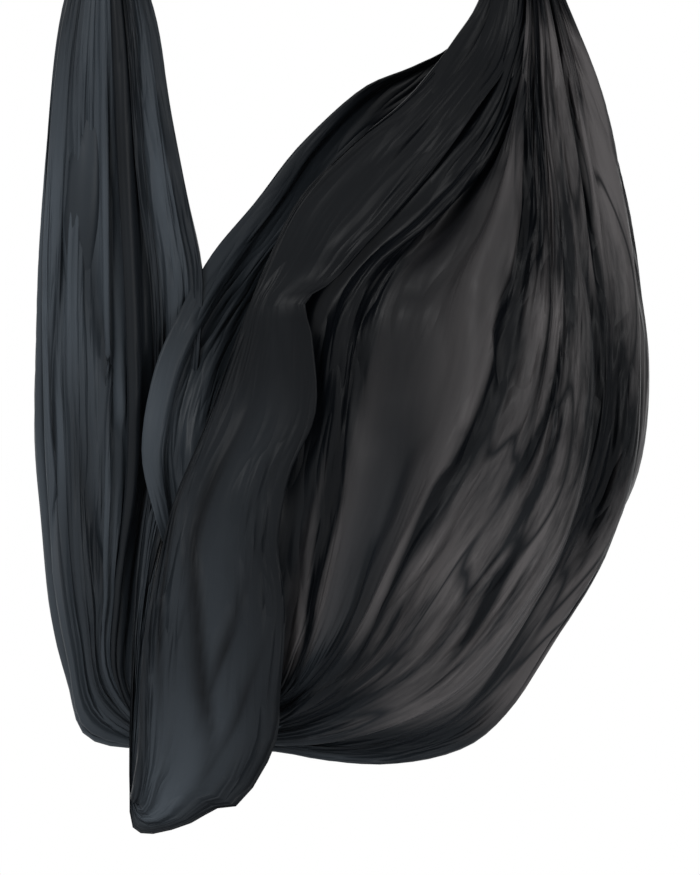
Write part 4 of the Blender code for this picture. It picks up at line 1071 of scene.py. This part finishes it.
# a loop of webbing round both bars, sewn to itself between them: half its width squared-off cos a
# to the side and half its thickness squared-off sin a outwards, narrower in the loops
def makeStrap(side, x, material):
    size = strapSize
    top, bottom = hanger["upperLowBar"], hanger["lowerTopBar"]
    path = inPlane(strapProfile(size, top, bottom), "xz", (x, 0, 0))
    fromBar = np.minimum(top - path[:, 2], path[:, 2] - bottom)
    share = np.clip((fromBar - size["loopLength"]) / size["taper"], 0, 1)
    share = share**2 * (3 - 2 * share)
    width = size["loopWidth"] + (size["width"] - size["loopWidth"]) * share
    angle = fullTurn(size["sides"])
    sideReach = width[:, None] / 2 * squaredOff(np.cos(angle), size["squareness"])
    upReach = size["drawnThin"] * size["thickness"] / 2 * squaredOff(np.sin(angle), size["squareness"])
    upReach = np.broadcast_to(upReach, sideReach.shape)
    uv = np.stack(np.broadcast_arrays(sideReach, lengthAlong(path)[:, None]), axis=-1)
    grid = tubeGrid(path, sideReach, upReach, closed=True)
    mesh = meshFromGrid(f"{side}Webbing", grid, closeRows=True, closeColumns=True, uv=uv)
    fixNormals(mesh)
    addPiece(f"{side}Webbing", mesh, material, f"{side}_strap", [f"{side}_strap"])


# stitches at an even pitch along the lines between the box's corners, on both faces of the strap
def makeStitching(side, x, material):
    size, starts, stops = stitchSize, [], []
    near, far = size["fromBar"]
    face = strapSize["thickness"] + size["proud"]
    for high, low in (
        (hanger["upperLowBar"] - near, hanger["upperLowBar"] - far),
        (hanger["lowerTopBar"] + far, hanger["lowerTopBar"] + near),
    ):
        corners = [(size["halfWidth"] * sign, high + (low - high) * down) for sign, down in size["corners"]]
        line = np.array(corners)
        for a, b in zip(line[:-1], line[1:]):
            length = np.linalg.norm(b - a)
            count = max(int(length / size["pitch"]), 1)
            middle = a + (b - a) * ((np.arange(count) + 0.5) / count)[:, None]
            step = (b - a) / length * size["length"] / 2
            for faceX in (x - face, x + face):
                column = np.full((count, 1), faceX)
                starts.append(np.hstack([column, middle - step]))
                stops.append(np.hstack([column, middle + step]))
    mesh = manyTubes(f"{side}Stitching", np.vstack(starts), np.vstack(stops), size["threadRadius"])
    addPiece(f"{side}Stitching", mesh, material, f"{side}_strap")


knotSize = {
    "bundle": 0.0125,  # radius of the gathered cloth over the bar
    "overBar": 0.0183,
    "legX": 0.0128,
    "legsBottom": -0.102,
    "legsTogether": -0.0568,
    "bundlePleats": 13,
    "pleatDepth": 0.20,
    "pleatStart": (1.3, 2.0),  # radians, and radians to a metre across, so that the knots differ
    "twist": (0.8, 0.5),  # radians by which the pleats swing and climb along the bundle
    "swells": ((0.05, 2, 5), (0.04, 3, -9)),  # (share of the radius, lumps a turn, their climb)
    "legRings": 50,
    "archRings": 40,
    "sides": 96,
}
wrapSize = {
    "radius": 0.0113,
    "reach": 0.02425,
    "heights": (-0.0681, -0.0896, -0.1135),  # from the bar's middle
    "leans": (-0.22, 0.22, 0.05),
    "pleats": 10,
    "pleatDepth": 0.24,
    "twist": 0.9,
    # (share, lumps a turn, radians by which each next wrap's are shifted) of the wrap's reach and radius
    "reachLumps": ((0.03, 2, 1), (0.02, 5, 0)),
    "swells": ((0.06, 3, 2), (0.03, 7, 0)),
    "rings": 120,
    "sides": 64,
}
throatSize = {
    "top": -0.050,
    "overlap": 0.002,  # by which it reaches into the hanging cloth
    "radius": (0.0225, 0.0250),
    "pleats": 23,
    "pleatDepth": (0.10, 0.26),
    "sway": (0.15, 4, 9),  # radians by which pleats bend on their way down, waves' radians down and across
    "rings": 30,
    "sides": 230,
}
pleatShape = {
    "wander": ((0.9, 3, 1), (0.6, 7, -2)),  # (share of a pleat, waves a turn, share of the start)
    "height": 0.78,  # level of the pleats' heights, and how much they swing round it
    "heightSwing": 0.22,
    "valleyFloor": 1e-6,  # keeps the root's slope finite in a valley
}


# round ridges with sharp valleys: the root of |cos(count a / 2)|, where a wanders so that no two
# pleats are alike, each with its own height
def pleats(angle, count, start):
    uneven = angle
    for share, waves, shift in pleatShape["wander"]:
        uneven = uneven + share / count * np.sin(waves * angle + shift * start)
    ridge = np.sqrt(np.abs(np.cos(count * uneven / 2)) + pleatShape["valleyFloor"])
    swing = np.sin(2 * angle + start) * np.sin(5 * angle + 3 * start)
    return ridge * (pleatShape["height"] + pleatShape["heightSwing"] * swing)


# 1 on a ridge and 1 - depth in a valley
def pleated(ridge, depth):
    return 1 - depth + depth * ridge


# the pleats' ridges with a row for each closed end
def capped(ridge):
    return np.vstack([ridge[:1], ridge, ridge[-1:]])


# a tube of packed cloth, which carries its pleats' ridges for its material
def addKnotPiece(name, grid, ridge, closeRows, material, replaced=()):
    mesh = meshFromGrid(name, grid, closeRows=closeRows, closeColumns=True)
    addAttribute(mesh, "ridge", ridge)
    fixNormals(mesh)
    addPiece(name, mesh, material, "sling", replaced)


# gathered cloth over the carabiner: a pleated tube up one leg, round the bar and down the other
def makeBundle(side, x, material):
    size, bar = knotSize, hanger["lowerLowBar"]
    legX = size["legX"]
    stations = np.array([[legX, size["legsBottom"]], [legX, size["legsTogether"]], [size["overBar"], 0.0]])
    leg = smoothThrough([0, 0.5, 1.0], stations, np.linspace(0, 1, size["legRings"]))[:-1]
    arch = arcPoints((0, 0), size["overBar"], 0, 180, size["archRings"])
    profile = np.vstack([leg, arch, (leg * (-1, 1))[::-1]])
    path = inPlane(profile, "xz", (x, 0, bar))
    share = np.linspace(0, 1, len(path))[:, None]
    angle = fullTurn(size["sides"])[None]
    swing, climb = size["twist"]
    twisted = angle + swing * np.sin(3 * share + x) + climb * share
    start, shift = size["pleatStart"]
    ridge = pleats(twisted, size["bundlePleats"], start + shift * x)
    radius = size["bundle"] * pleated(ridge, size["pleatDepth"]) * lumpy(size["swells"], angle, share)
    grid = roundTube(path, radius, angle.size)
    addKnotPiece(f"{side}KnotBundle", grid, capped(ridge), False, material, [f"{side}_knot"])


# the cloth wound round its own legs: leaning rings, pleated and a little swollen in places
def makeWraps(side, x, material):
    size, bar = wrapSize, hanger["lowerLowBar"]
    turn = fullTurn(size["rings"])
    around = fullTurn(size["sides"])[None]
    for number, (height, lean) in enumerate(zip(size["heights"], size["leans"])):
        reach = size["reach"] * lumpy(size["reachLumps"], turn, number)
        ring = levelRing((x, 0, bar + height), reach, len(turn), lean)
        ridge = pleats(around + size["twist"] * np.sin(turn)[:, None], size["pleats"], number + x)
        swell = lumpy(size["swells"], turn[:, None], number)
        radius = size["radius"] * pleated(ridge, size["pleatDepth"]) * swell
        grid = roundTube(ring, radius, around.size, closed=True)
        addKnotPiece(f"{side}KnotWrap{number + 1}", grid, ridge, True, material)


# the gathered cloth below the wraps: an upright pleated cone, wider and deeper pleated lower down
def makeThroat(side, x, material):
    size, bar = throatSize, hanger["lowerLowBar"]
    rows = np.linspace(0, 1, size["rings"])[:, None]
    angle = fullTurn(size["sides"])[None]
    top, bottom = bar + size["top"], hanger["throat"] - size["overlap"]
    height = top + (bottom - top) * rows
    sway, down, sideways = size["sway"]
    ridge = pleats(angle + sway * np.sin(down * rows + sideways * x), size["pleats"], x)
    low, high = size["radius"]
    shallow, deep = size["pleatDepth"]
    radius = (low + (high - low) * rows) * pleated(ridge, shallow + (deep - shallow) * rows)
    grid = roundAbout(radius, height, angle, (x, 0, 0))
    ends = [np.broadcast_to(np.array([x, 0, z]), (1, angle.size, 3)) for z in (top, bottom)]
    grid = np.concatenate([ends[0], grid, ends[1]])
    addKnotPiece(f"{side}KnotThroat", grid, capped(ridge), False, material)


# a new material, its nodes and its shader
def startMaterial(name):
    material = bpy.data.materials.new(name)
    material.use_nodes = True
    tree = material.node_tree
    return material, tree, tree.nodes["Principled BSDF"]


# a node with its settings, and a value or a link for each named socket
def addNode(tree, kind, values=None, **settings):
    node = tree.nodes.new(kind)
    for name, value in settings.items():
        setattr(node, name, value)
    for name, value in (values or {}).items():
        setSocket(tree, node.inputs[name], value)
    return node


# a socket's link or constant; a colour gets its alpha of 1
def setSocket(tree, socket, value):
    if isinstance(value, bpy.types.NodeSocket):
        tree.links.new(value, socket)
    elif socket.type == "RGBA":
        socket.default_value = (*value, 1.0)
    else:
        socket.default_value = value


# noise on coordinates stretched by the scale
def noiseOn(tree, place, scale, detail=2.0, roughness=0.5, distortion=0.0):
    stretched = addNode(tree, "ShaderNodeMapping", {"Vector": place, "Scale": scale})
    values = {
        "Vector": stretched.outputs[0],
        "Scale": 1.0,
        "Detail": detail,
        "Roughness": roughness,
        "Distortion": distortion,
    }
    return addNode(tree, "ShaderNodeTexNoise", values).outputs[0]


# the stretch from low to high widened to another one, held at its ends
def spread(tree, value, low, high, newLow=0.0, newHigh=1.0):
    values = {"Value": value, "From Min": low, "From Max": high, "To Min": newLow, "To Max": newHigh}
    return addNode(tree, "ShaderNodeMapRange", values).outputs[0]


# one operation on values or sockets, with as many terms as it takes
def maths(tree, operation, first, second=0.0, third=0.5):
    terms = {0: first, 1: second, 2: third}
    return addNode(tree, "ShaderNodeMath", terms, operation=operation).outputs[0]


# distance from the noise's middle value, which makes sharp valleys
def ridged(tree, noise):
    return maths(tree, "ABSOLUTE", spread(tree, noise, 0.2, 0.8, -1.0, 1.0))


# first + factor (second - first). Sockets 6 and 7 are the node's two colours
def mixColours(tree, factor, first, second):
    values = {"Factor": factor, 6: first, 7: second}
    return addNode(tree, "ShaderNodeMix", values, data_type="RGBA").outputs[2]


# the shader's surface tilted as if a height of 1 stood a depth above one of 0
def bumpBy(tree, shader, height, depth, strength=1.0):
    bump = addNode(tree, "ShaderNodeBump", {"Strength": strength, "Distance": depth, "Height": height})
    tree.links.new(bump.outputs[0], shader.inputs["Normal"])


nylonLook = {
    "layered": (0.0016, 0.0022, 0.0032),  # colour where layers lie over each other
    "lightened": (0.0510, 0.0620, 0.0740),  # painted light: the colour lightened where light falls flat on it
    "paintedSheerLight": (0.082, 0.077, 0.078),  # painted light: colour where light showing through a single layer is painted
    "roughness": (0.35, 0.46),
    "specular": 0.10,
    "sheen": 0.016,
    "sheenRoughness": 0.4,
    "sheenTint": (0.75, 0.82, 0.95, 1.0),
    # noises: waves to a metre across and along, then detail, roughness and distortion
    "streaks": ((20.0, 1.9, 1.0), 6.0, 0.62),
    "creases": ((12.5, 1.5, 1.0), 1.0, 0.4, 0.12),
    "crinkles": ((33.0, 4.2, 1.0), 1.0, 0.5, 0.1),
    "clouds": ((2.4, 1.3, 1.0), 2.0),
    "patches": ((5.5, 1.9, 1.0), 2.0),
    # depths of the bump, the last two as shares of the first
    "creaseDepth": 0.024,
    "crinkleDepth": 0.6,
    "streakDepth": 0.3,
    # stretches: the low and high end of a noise or an attribute, then what they become
    "streakShift": (0.3, 0.7, -0.6, 0.6),
    "cloudShift": (0.3, 0.7, -0.5, 0.45),
    "crumpleShift": (0.1, 0.9, 0.12, 1.3),
    "paintedLightStep": (0.30, 0.95),
    "lineShade": (0.01, 0.10, 0.9, 0.0),
    "lineCrumple": (0.2, 0.7),
    "paintedLightClouds": (0.35, 0.65, 0.45, 1.15),
    "cloudGloss": (0.3, 0.7),
    "patchDepth": (0.42, 0.58, 0.15, 1.3),
}


# the shine that the hanging cloth and the knots' packed cloth share, rougher in some clouds than in others
def setNylonShine(tree, shader, clouds):
    look = nylonLook
    roughness = spread(tree, clouds, *look["cloudGloss"], *look["roughness"])
    tree.links.new(roughness, shader.inputs["Roughness"])
    shader.inputs["Specular IOR Level"].default_value = look["specular"]
    shader.inputs["Sheen Weight"].default_value = look["sheen"]
    shader.inputs["Sheen Roughness"].default_value = look["sheenRoughness"]
    shader.inputs["Sheen Tint"].default_value = look["sheenTint"]


# black nylon tricot: bluish black in layers, with painted light making it warm and greyer where one layer is
# spread. The cloth's attributes say where painted through-light and a painted lit colour lie and where it is
# crumpled, and noise breaks up their edges
def makeNylon():
    look = nylonLook
    material, tree, shader = startMaterial("blackNylonTricot")
    flat = addNode(tree, "ShaderNodeUVMap", uv_map="flat").outputs[0]
    streaks, clouds, patches, lines, finer = [
        noiseOn(tree, flat, *look[name]) for name in ("streaks", "clouds", "patches", "creases", "crinkles")
    ]
    lines, finer = ridged(tree, lines), ridged(tree, finer)
    paintedSheerLight, crumple, lightened = [
        addNode(tree, "ShaderNodeAttribute", attribute_name=name).outputs["Fac"]
        for name in ("paintedSheerLight", "crumple", "lightened")
    ]
    # the edge between the painted through-light and the dark is drawn out along the cloth by the streaks
    uneven = spread(tree, streaks, *look["streakShift"])
    uneven = maths(tree, "ADD", uneven, spread(tree, clouds, *look["cloudShift"]))
    uneven = maths(tree, "MULTIPLY", uneven, spread(tree, crumple, *look["crumpleShift"]))
    share = maths(tree, "MULTIPLY_ADD", uneven, paintedSheerLight, paintedSheerLight)
    share = spread(tree, share, *look["paintedLightStep"])
    # painted shade along the crease noise's lines where the cloth is crumpled
    lineShade = spread(tree, lines, *look["lineShade"])
    lineShade = maths(tree, "MULTIPLY", lineShade, spread(tree, crumple, *look["lineCrumple"]))
    share = maths(tree, "MULTIPLY", share, maths(tree, "SUBTRACT", 1.0, lineShade))
    # painted light, broken up by clouds
    paintedLightShare = maths(tree, "MULTIPLY", lightened, spread(tree, clouds, *look["paintedLightClouds"]))
    layered = mixColours(tree, paintedLightShare, look["layered"], look["lightened"])
    tree.links.new(mixColours(tree, share, layered, look["paintedSheerLight"]), shader.inputs["Base Color"])
    height = maths(tree, "ADD", lines, maths(tree, "MULTIPLY", finer, look["crinkleDepth"]))
    height = maths(tree, "ADD", height, maths(tree, "MULTIPLY", streaks, look["streakDepth"]))
    height = maths(tree, "MULTIPLY", height, crumple)
    height = maths(tree, "MULTIPLY", height, spread(tree, patches, *look["patchDepth"]))
    bumpBy(tree, shader, height, look["creaseDepth"])
    setNylonShine(tree, shader, clouds)
    return material


knotLook = {
    # painted shade in the pleats' valleys and painted light on their ridges
    "valleyShade": (0.0020, 0.0028, 0.0040),
    "ridge": (0.0160, 0.0195, 0.0240),
    "wrinkles": ((130.0, 130.0, 30.0), 3.0, 0.55, 0.6),
    "clouds": ((28.0, 28.0, 28.0), 2.0),
    "wrinkleDepth": 0.0011,
    "wrinkleStrength": 0.8,
    "cloudShade": (0.3, 0.7, 0.35, 1.0),
    "wrinkleShade": (0.0, 0.25, 0.5, 1.0),
}


# the same cloth packed tight: its own "ridge" attribute is 1 on a pleat and 0 in the valley between;
# the colour paints light on the pleats' ridges and shade in their valleys and wrinkles
def makeKnotNylon():
    look = knotLook
    material, tree, shader = startMaterial("blackNylonPacked")
    place = addNode(tree, "ShaderNodeTexCoord").outputs["Object"]
    clouds = noiseOn(tree, place, *look["clouds"])
    wrinkles = ridged(tree, noiseOn(tree, place, *look["wrinkles"]))
    ridge = addNode(tree, "ShaderNodeAttribute", attribute_name="ridge").outputs["Fac"]
    share = maths(tree, "MULTIPLY", ridge, spread(tree, clouds, *look["cloudShade"]))
    share = maths(tree, "MULTIPLY", share, spread(tree, wrinkles, *look["wrinkleShade"]))
    tree.links.new(mixColours(tree, share, look["valleyShade"], look["ridge"]), shader.inputs["Base Color"])
    bumpBy(tree, shader, wrinkles, look["wrinkleDepth"], look["wrinkleStrength"])
    setNylonShine(tree, shader, clouds)
    return material


# bright and dull colour, lowest and highest roughness, scratches to a metre each way, clouds to a
# metre, and the scratches' depth
metalLooks = {
    "polishedSteel": ((0.42, 0.43, 0.45), (0.25, 0.26, 0.28), (0.20, 0.36), (900, 900, 90), 60, 0.00012),
    "zincPlated": ((0.46, 0.46, 0.45), (0.27, 0.27, 0.28), (0.30, 0.50), (500, 500, 500), 130, 0.00008),
    "plateSteel": ((0.44, 0.45, 0.47), (0.28, 0.29, 0.31), (0.26, 0.42), (40, 700, 700), 45, 0.00010),
    "springWire": ((0.30, 0.29, 0.27), (0.12, 0.12, 0.12), (0.25, 0.40), (800, 800, 800), 300, 0.00003),
}
metalWear = {
    "noise": (3.0, 0.6),  # detail and roughness
    # stretches, as for the nylon
    "scratchWear": (0.3, 0.6, 0.6, 1.0),
    "cloudWear": (0.35, 0.6),
    "scratchGloss": (0.35, 0.65),
    "scratchStrength": 0.6,
}


# metal: cloudy between its dull and bright colour, with fine scratches drawn out by their scale
def makeMetal(name, bright, dull, roughness, scratchScale, cloudScale, depth):
    wear = metalWear
    material, tree, shader = startMaterial(name)
    place = addNode(tree, "ShaderNodeTexCoord").outputs["Object"]
    clouds = noiseOn(tree, place, (cloudScale,) * 3, *wear["noise"])
    scratches = noiseOn(tree, place, scratchScale, *wear["noise"])
    worn = spread(tree, scratches, *wear["scratchWear"])
    worn = maths(tree, "MULTIPLY", spread(tree, clouds, *wear["cloudWear"]), worn)
    tree.links.new(mixColours(tree, worn, dull, bright), shader.inputs["Base Color"])
    gloss = spread(tree, scratches, *wear["scratchGloss"], *roughness[::-1])
    tree.links.new(gloss, shader.inputs["Roughness"])
    bumpBy(tree, shader, scratches, depth, wear["scratchStrength"])
    shader.inputs["Metallic"].default_value = 1.0
    return material


webbingLook = {
    "yarn": (0.016, 0.0165, 0.019),
    "gapShade": (0.0025, 0.0025, 0.003),
    "ribs": 620.0,  # ribs to a metre along the webbing, and yarns across it
    "yarns": 520.0,
    "ribDepth": 0.0009,
    "ribStrength": 0.9,
    "roughness": 0.62,
    "specular": 0.3,
    "fuzz": ((900.0, 900.0, 1.0), 2.0),
    "fuzzShade": (0.3, 0.7, 0.75, 1.1),
}


# webbing: yarns over and under each other, as the product of a wave along and one across, with
# painted shade in the gaps between the yarns
def makeWebbingLook():
    look = webbingLook
    material, tree, shader = startMaterial("blackWebbing")
    flat = addNode(tree, "ShaderNodeUVMap", uv_map="flat").outputs[0]
    parts = addNode(tree, "ShaderNodeSeparateXYZ", {0: flat})
    turn = 2 * math.pi
    acrossWave = maths(tree, "SINE", maths(tree, "MULTIPLY", parts.outputs[0], turn * look["yarns"] / 2))
    alongWave = maths(tree, "SINE", maths(tree, "MULTIPLY", parts.outputs[1], turn * look["ribs"] / 2))
    weave = maths(tree, "ABSOLUTE", maths(tree, "MULTIPLY", acrossWave, alongWave))
    fuzz = spread(tree, noiseOn(tree, flat, *look["fuzz"]), *look["fuzzShade"])
    weave = maths(tree, "MULTIPLY", maths(tree, "SQRT", weave), fuzz)
    tree.links.new(mixColours(tree, weave, look["gapShade"], look["yarn"]), shader.inputs["Base Color"])
    bumpBy(tree, shader, weave, look["ribDepth"], look["ribStrength"])
    shader.inputs["Roughness"].default_value = look["roughness"]
    shader.inputs["Specular IOR Level"].default_value = look["specular"]
    return material


threadLook = {
    "lay": (0.075, 0.078, 0.085),
    # painted shade in the grooves between the plies
    "groove": (0.022, 0.023, 0.026),
    "plies": 5200.0,  # radians to a metre
    "depth": 0.00015,
    "strength": 0.7,
    "roughness": 0.5,
}


# sewing thread: slanting plies, as a wave over height plus depth, with painted shade in the grooves between
# them
def makeThread():
    look = threadLook
    material, tree, shader = startMaterial("greyThread")
    place = addNode(tree, "ShaderNodeTexCoord").outputs["Object"]
    parts = addNode(tree, "ShaderNodeSeparateXYZ", {0: place})
    slant = maths(tree, "ADD", parts.outputs[1], parts.outputs[2])
    plies = maths(tree, "SINE", maths(tree, "MULTIPLY", slant, look["plies"]))
    plies = spread(tree, plies, -1.0, 1.0)
    tree.links.new(mixColours(tree, plies, look["groove"], look["lay"]), shader.inputs["Base Color"])
    bumpBy(tree, shader, plies, look["depth"], look["strength"])
    shader.inputs["Roughness"].default_value = look["roughness"]
    return material


nylon = makeNylon()
packedNylon = makeKnotNylon()
metals = {name: makeMetal(name, *look) for name, look in metalLooks.items()}
polishedSteel, zincPlated, plateSteel, springWire = metals.values()
webbing = makeWebbingLook()
thread = makeThread()
print("materials made")

clothMesh = meshFromGrid("hangingCloth", points, uv=uv)
for name, values in looks.items():
    addAttribute(clothMesh, name, values)
cloth = addPiece("hangingCloth", clothMesh, nylon, "sling", ["sling_cloth"])
solid = cloth.modifiers.new("thickness", "SOLIDIFY")
solid.thickness = clothSize["thickness"]
solid.offset = 0.0
solid.use_even_offset = False
print("cloth made")


# the ceiling plates and the gates' springs keep their solids' shape and take a finish here
def finishCarried(node, material):
    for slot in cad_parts[node].material_slots:
        slot.material = material


for side, x in hanger["sides"].items():
    finishCarried(f"{side}_ceiling_plate", plateSteel)
    makeEye(side, x, polishedSteel)
    makeScrews(side, x, zincPlated)
    for level, topBar, bodyName in (
        ("upper", hanger["upperTopBar"], f"{side}_upper_carabiner"),
        ("lower", hanger["lowerTopBar"], "sling"),
    ):
        makeCarabiner(side, level, x, topBar, bodyName, polishedSteel, zincPlated)
        finishCarried(f"{side}_{level}_gate_spring", springWire)
    makeStrap(side, x, webbing)
    makeStitching(side, x, thread)
    makeBundle(side, x, packedNylon)
    makeWraps(side, x, packedNylon)
    makeThroat(side, x, packedNylon)
    print(side, "hanger made")

# stage: white surroundings, a pale floor below the bag and two soft lamps
stageSize = {
    "surroundings": 0.55,  # strength of the white all round, where it only lights the object
    "floorHeight": -3.25,
    "floorRadius": 3.0,
    "floorRings": 25,
    "floorSides": 96,
    "floorFade": (0.9, 2.7),  # radii between which the floor's shade gives way to white
    "floorColour": (0.90, 0.90, 0.91, 1.0),
    "floorRoughness": 0.9,
    "floorPaleness": 0.45,  # share of plain white already mixed in at its middle
}
lamps = {
    "keyLamp": {"place": (-2.5, -4.5, 0.8), "size": 1.6, "power": 120.0},
    "fillLamp": {"place": (3.2, -4.0, -1.0), "size": 2.0, "power": 60.0},
}
lampsTarget = (0.0, 0.0, -1.9)


# the surroundings are full white to the camera and in reflections, and dimmer as light
def addWorld():
    world = bpy.data.worlds.new("surroundings")
    world.use_nodes = True
    tree = world.node_tree
    path = addNode(tree, "ShaderNodeLightPath").outputs
    seen = maths(tree, "MAXIMUM", path["Is Camera Ray"], path["Is Glossy Ray"])
    seen = maths(tree, "MAXIMUM", seen, path["Is Transmission Ray"])
    background = tree.nodes["Background"]
    background.inputs["Color"].default_value = (1.0, 1.0, 1.0, 1.0)
    strength = spread(tree, seen, 0.0, 1.0, stageSize["surroundings"], 1.0)
    tree.links.new(strength, background.inputs["Strength"])
    bpy.context.scene.world = world


# a flat disc: (share times radius times cos a, the same times sin a, height). It is white to the
# camera far out, and keeps its colour and shadow near the middle
def addFloor():
    size = stageSize
    reach = size["floorRadius"] * np.linspace(0.0, 1.0, size["floorRings"])[:, None]
    points = roundAbout(reach, size["floorHeight"], fullTurn(size["floorSides"])[None])
    mesh = meshFromGrid("floor", points, closeColumns=True)
    fixNormals(mesh)
    floor = addObject("floor", mesh)
    material, tree, shader = startMaterial("paleFloor")
    shader.inputs["Base Color"].default_value = size["floorColour"]
    shader.inputs["Roughness"].default_value = size["floorRoughness"]
    place = addNode(tree, "ShaderNodeTexCoord").outputs["Object"]
    parts = addNode(tree, "ShaderNodeSeparateXYZ", {0: place}).outputs
    squares = [maths(tree, "MULTIPLY", part, part) for part in parts[:2]]
    reached = maths(tree, "SQRT", maths(tree, "ADD", *squares))
    lightened = spread(tree, reached, *size["floorFade"], size["floorPaleness"], 1.0)
    camera = addNode(tree, "ShaderNodeLightPath").outputs["Is Camera Ray"]
    white = addNode(tree, "ShaderNodeEmission", {"Color": (1.0, 1.0, 1.0), "Strength": 1.0}).outputs[0]
    values = {0: maths(tree, "MULTIPLY", lightened, camera), 1: shader.outputs[0], 2: white}
    mixed = addNode(tree, "ShaderNodeMixShader", values).outputs[0]
    tree.links.new(mixed, tree.nodes["Material Output"].inputs["Surface"])
    mesh.materials.append(material)


# a round soft lamp turned towards its target
def addLamp(name, place, target, size, power):
    data = bpy.data.lights.new(name, "AREA")
    data.shape = "DISK"
    data.size = size
    data.energy = power
    lamp = addObject(name, data)
    lamp.location = place
    lamp.rotation_euler = (Vector(target) - Vector(place)).to_track_quat("-Z", "Y").to_euler()


addWorld()
addFloor()
for name, lamp in lamps.items():
    addLamp(name, lamp["place"], lampsTarget, lamp["size"], lamp["power"])
bpy.context.scene.view_settings.view_transform = "Standard"
print("stage set")
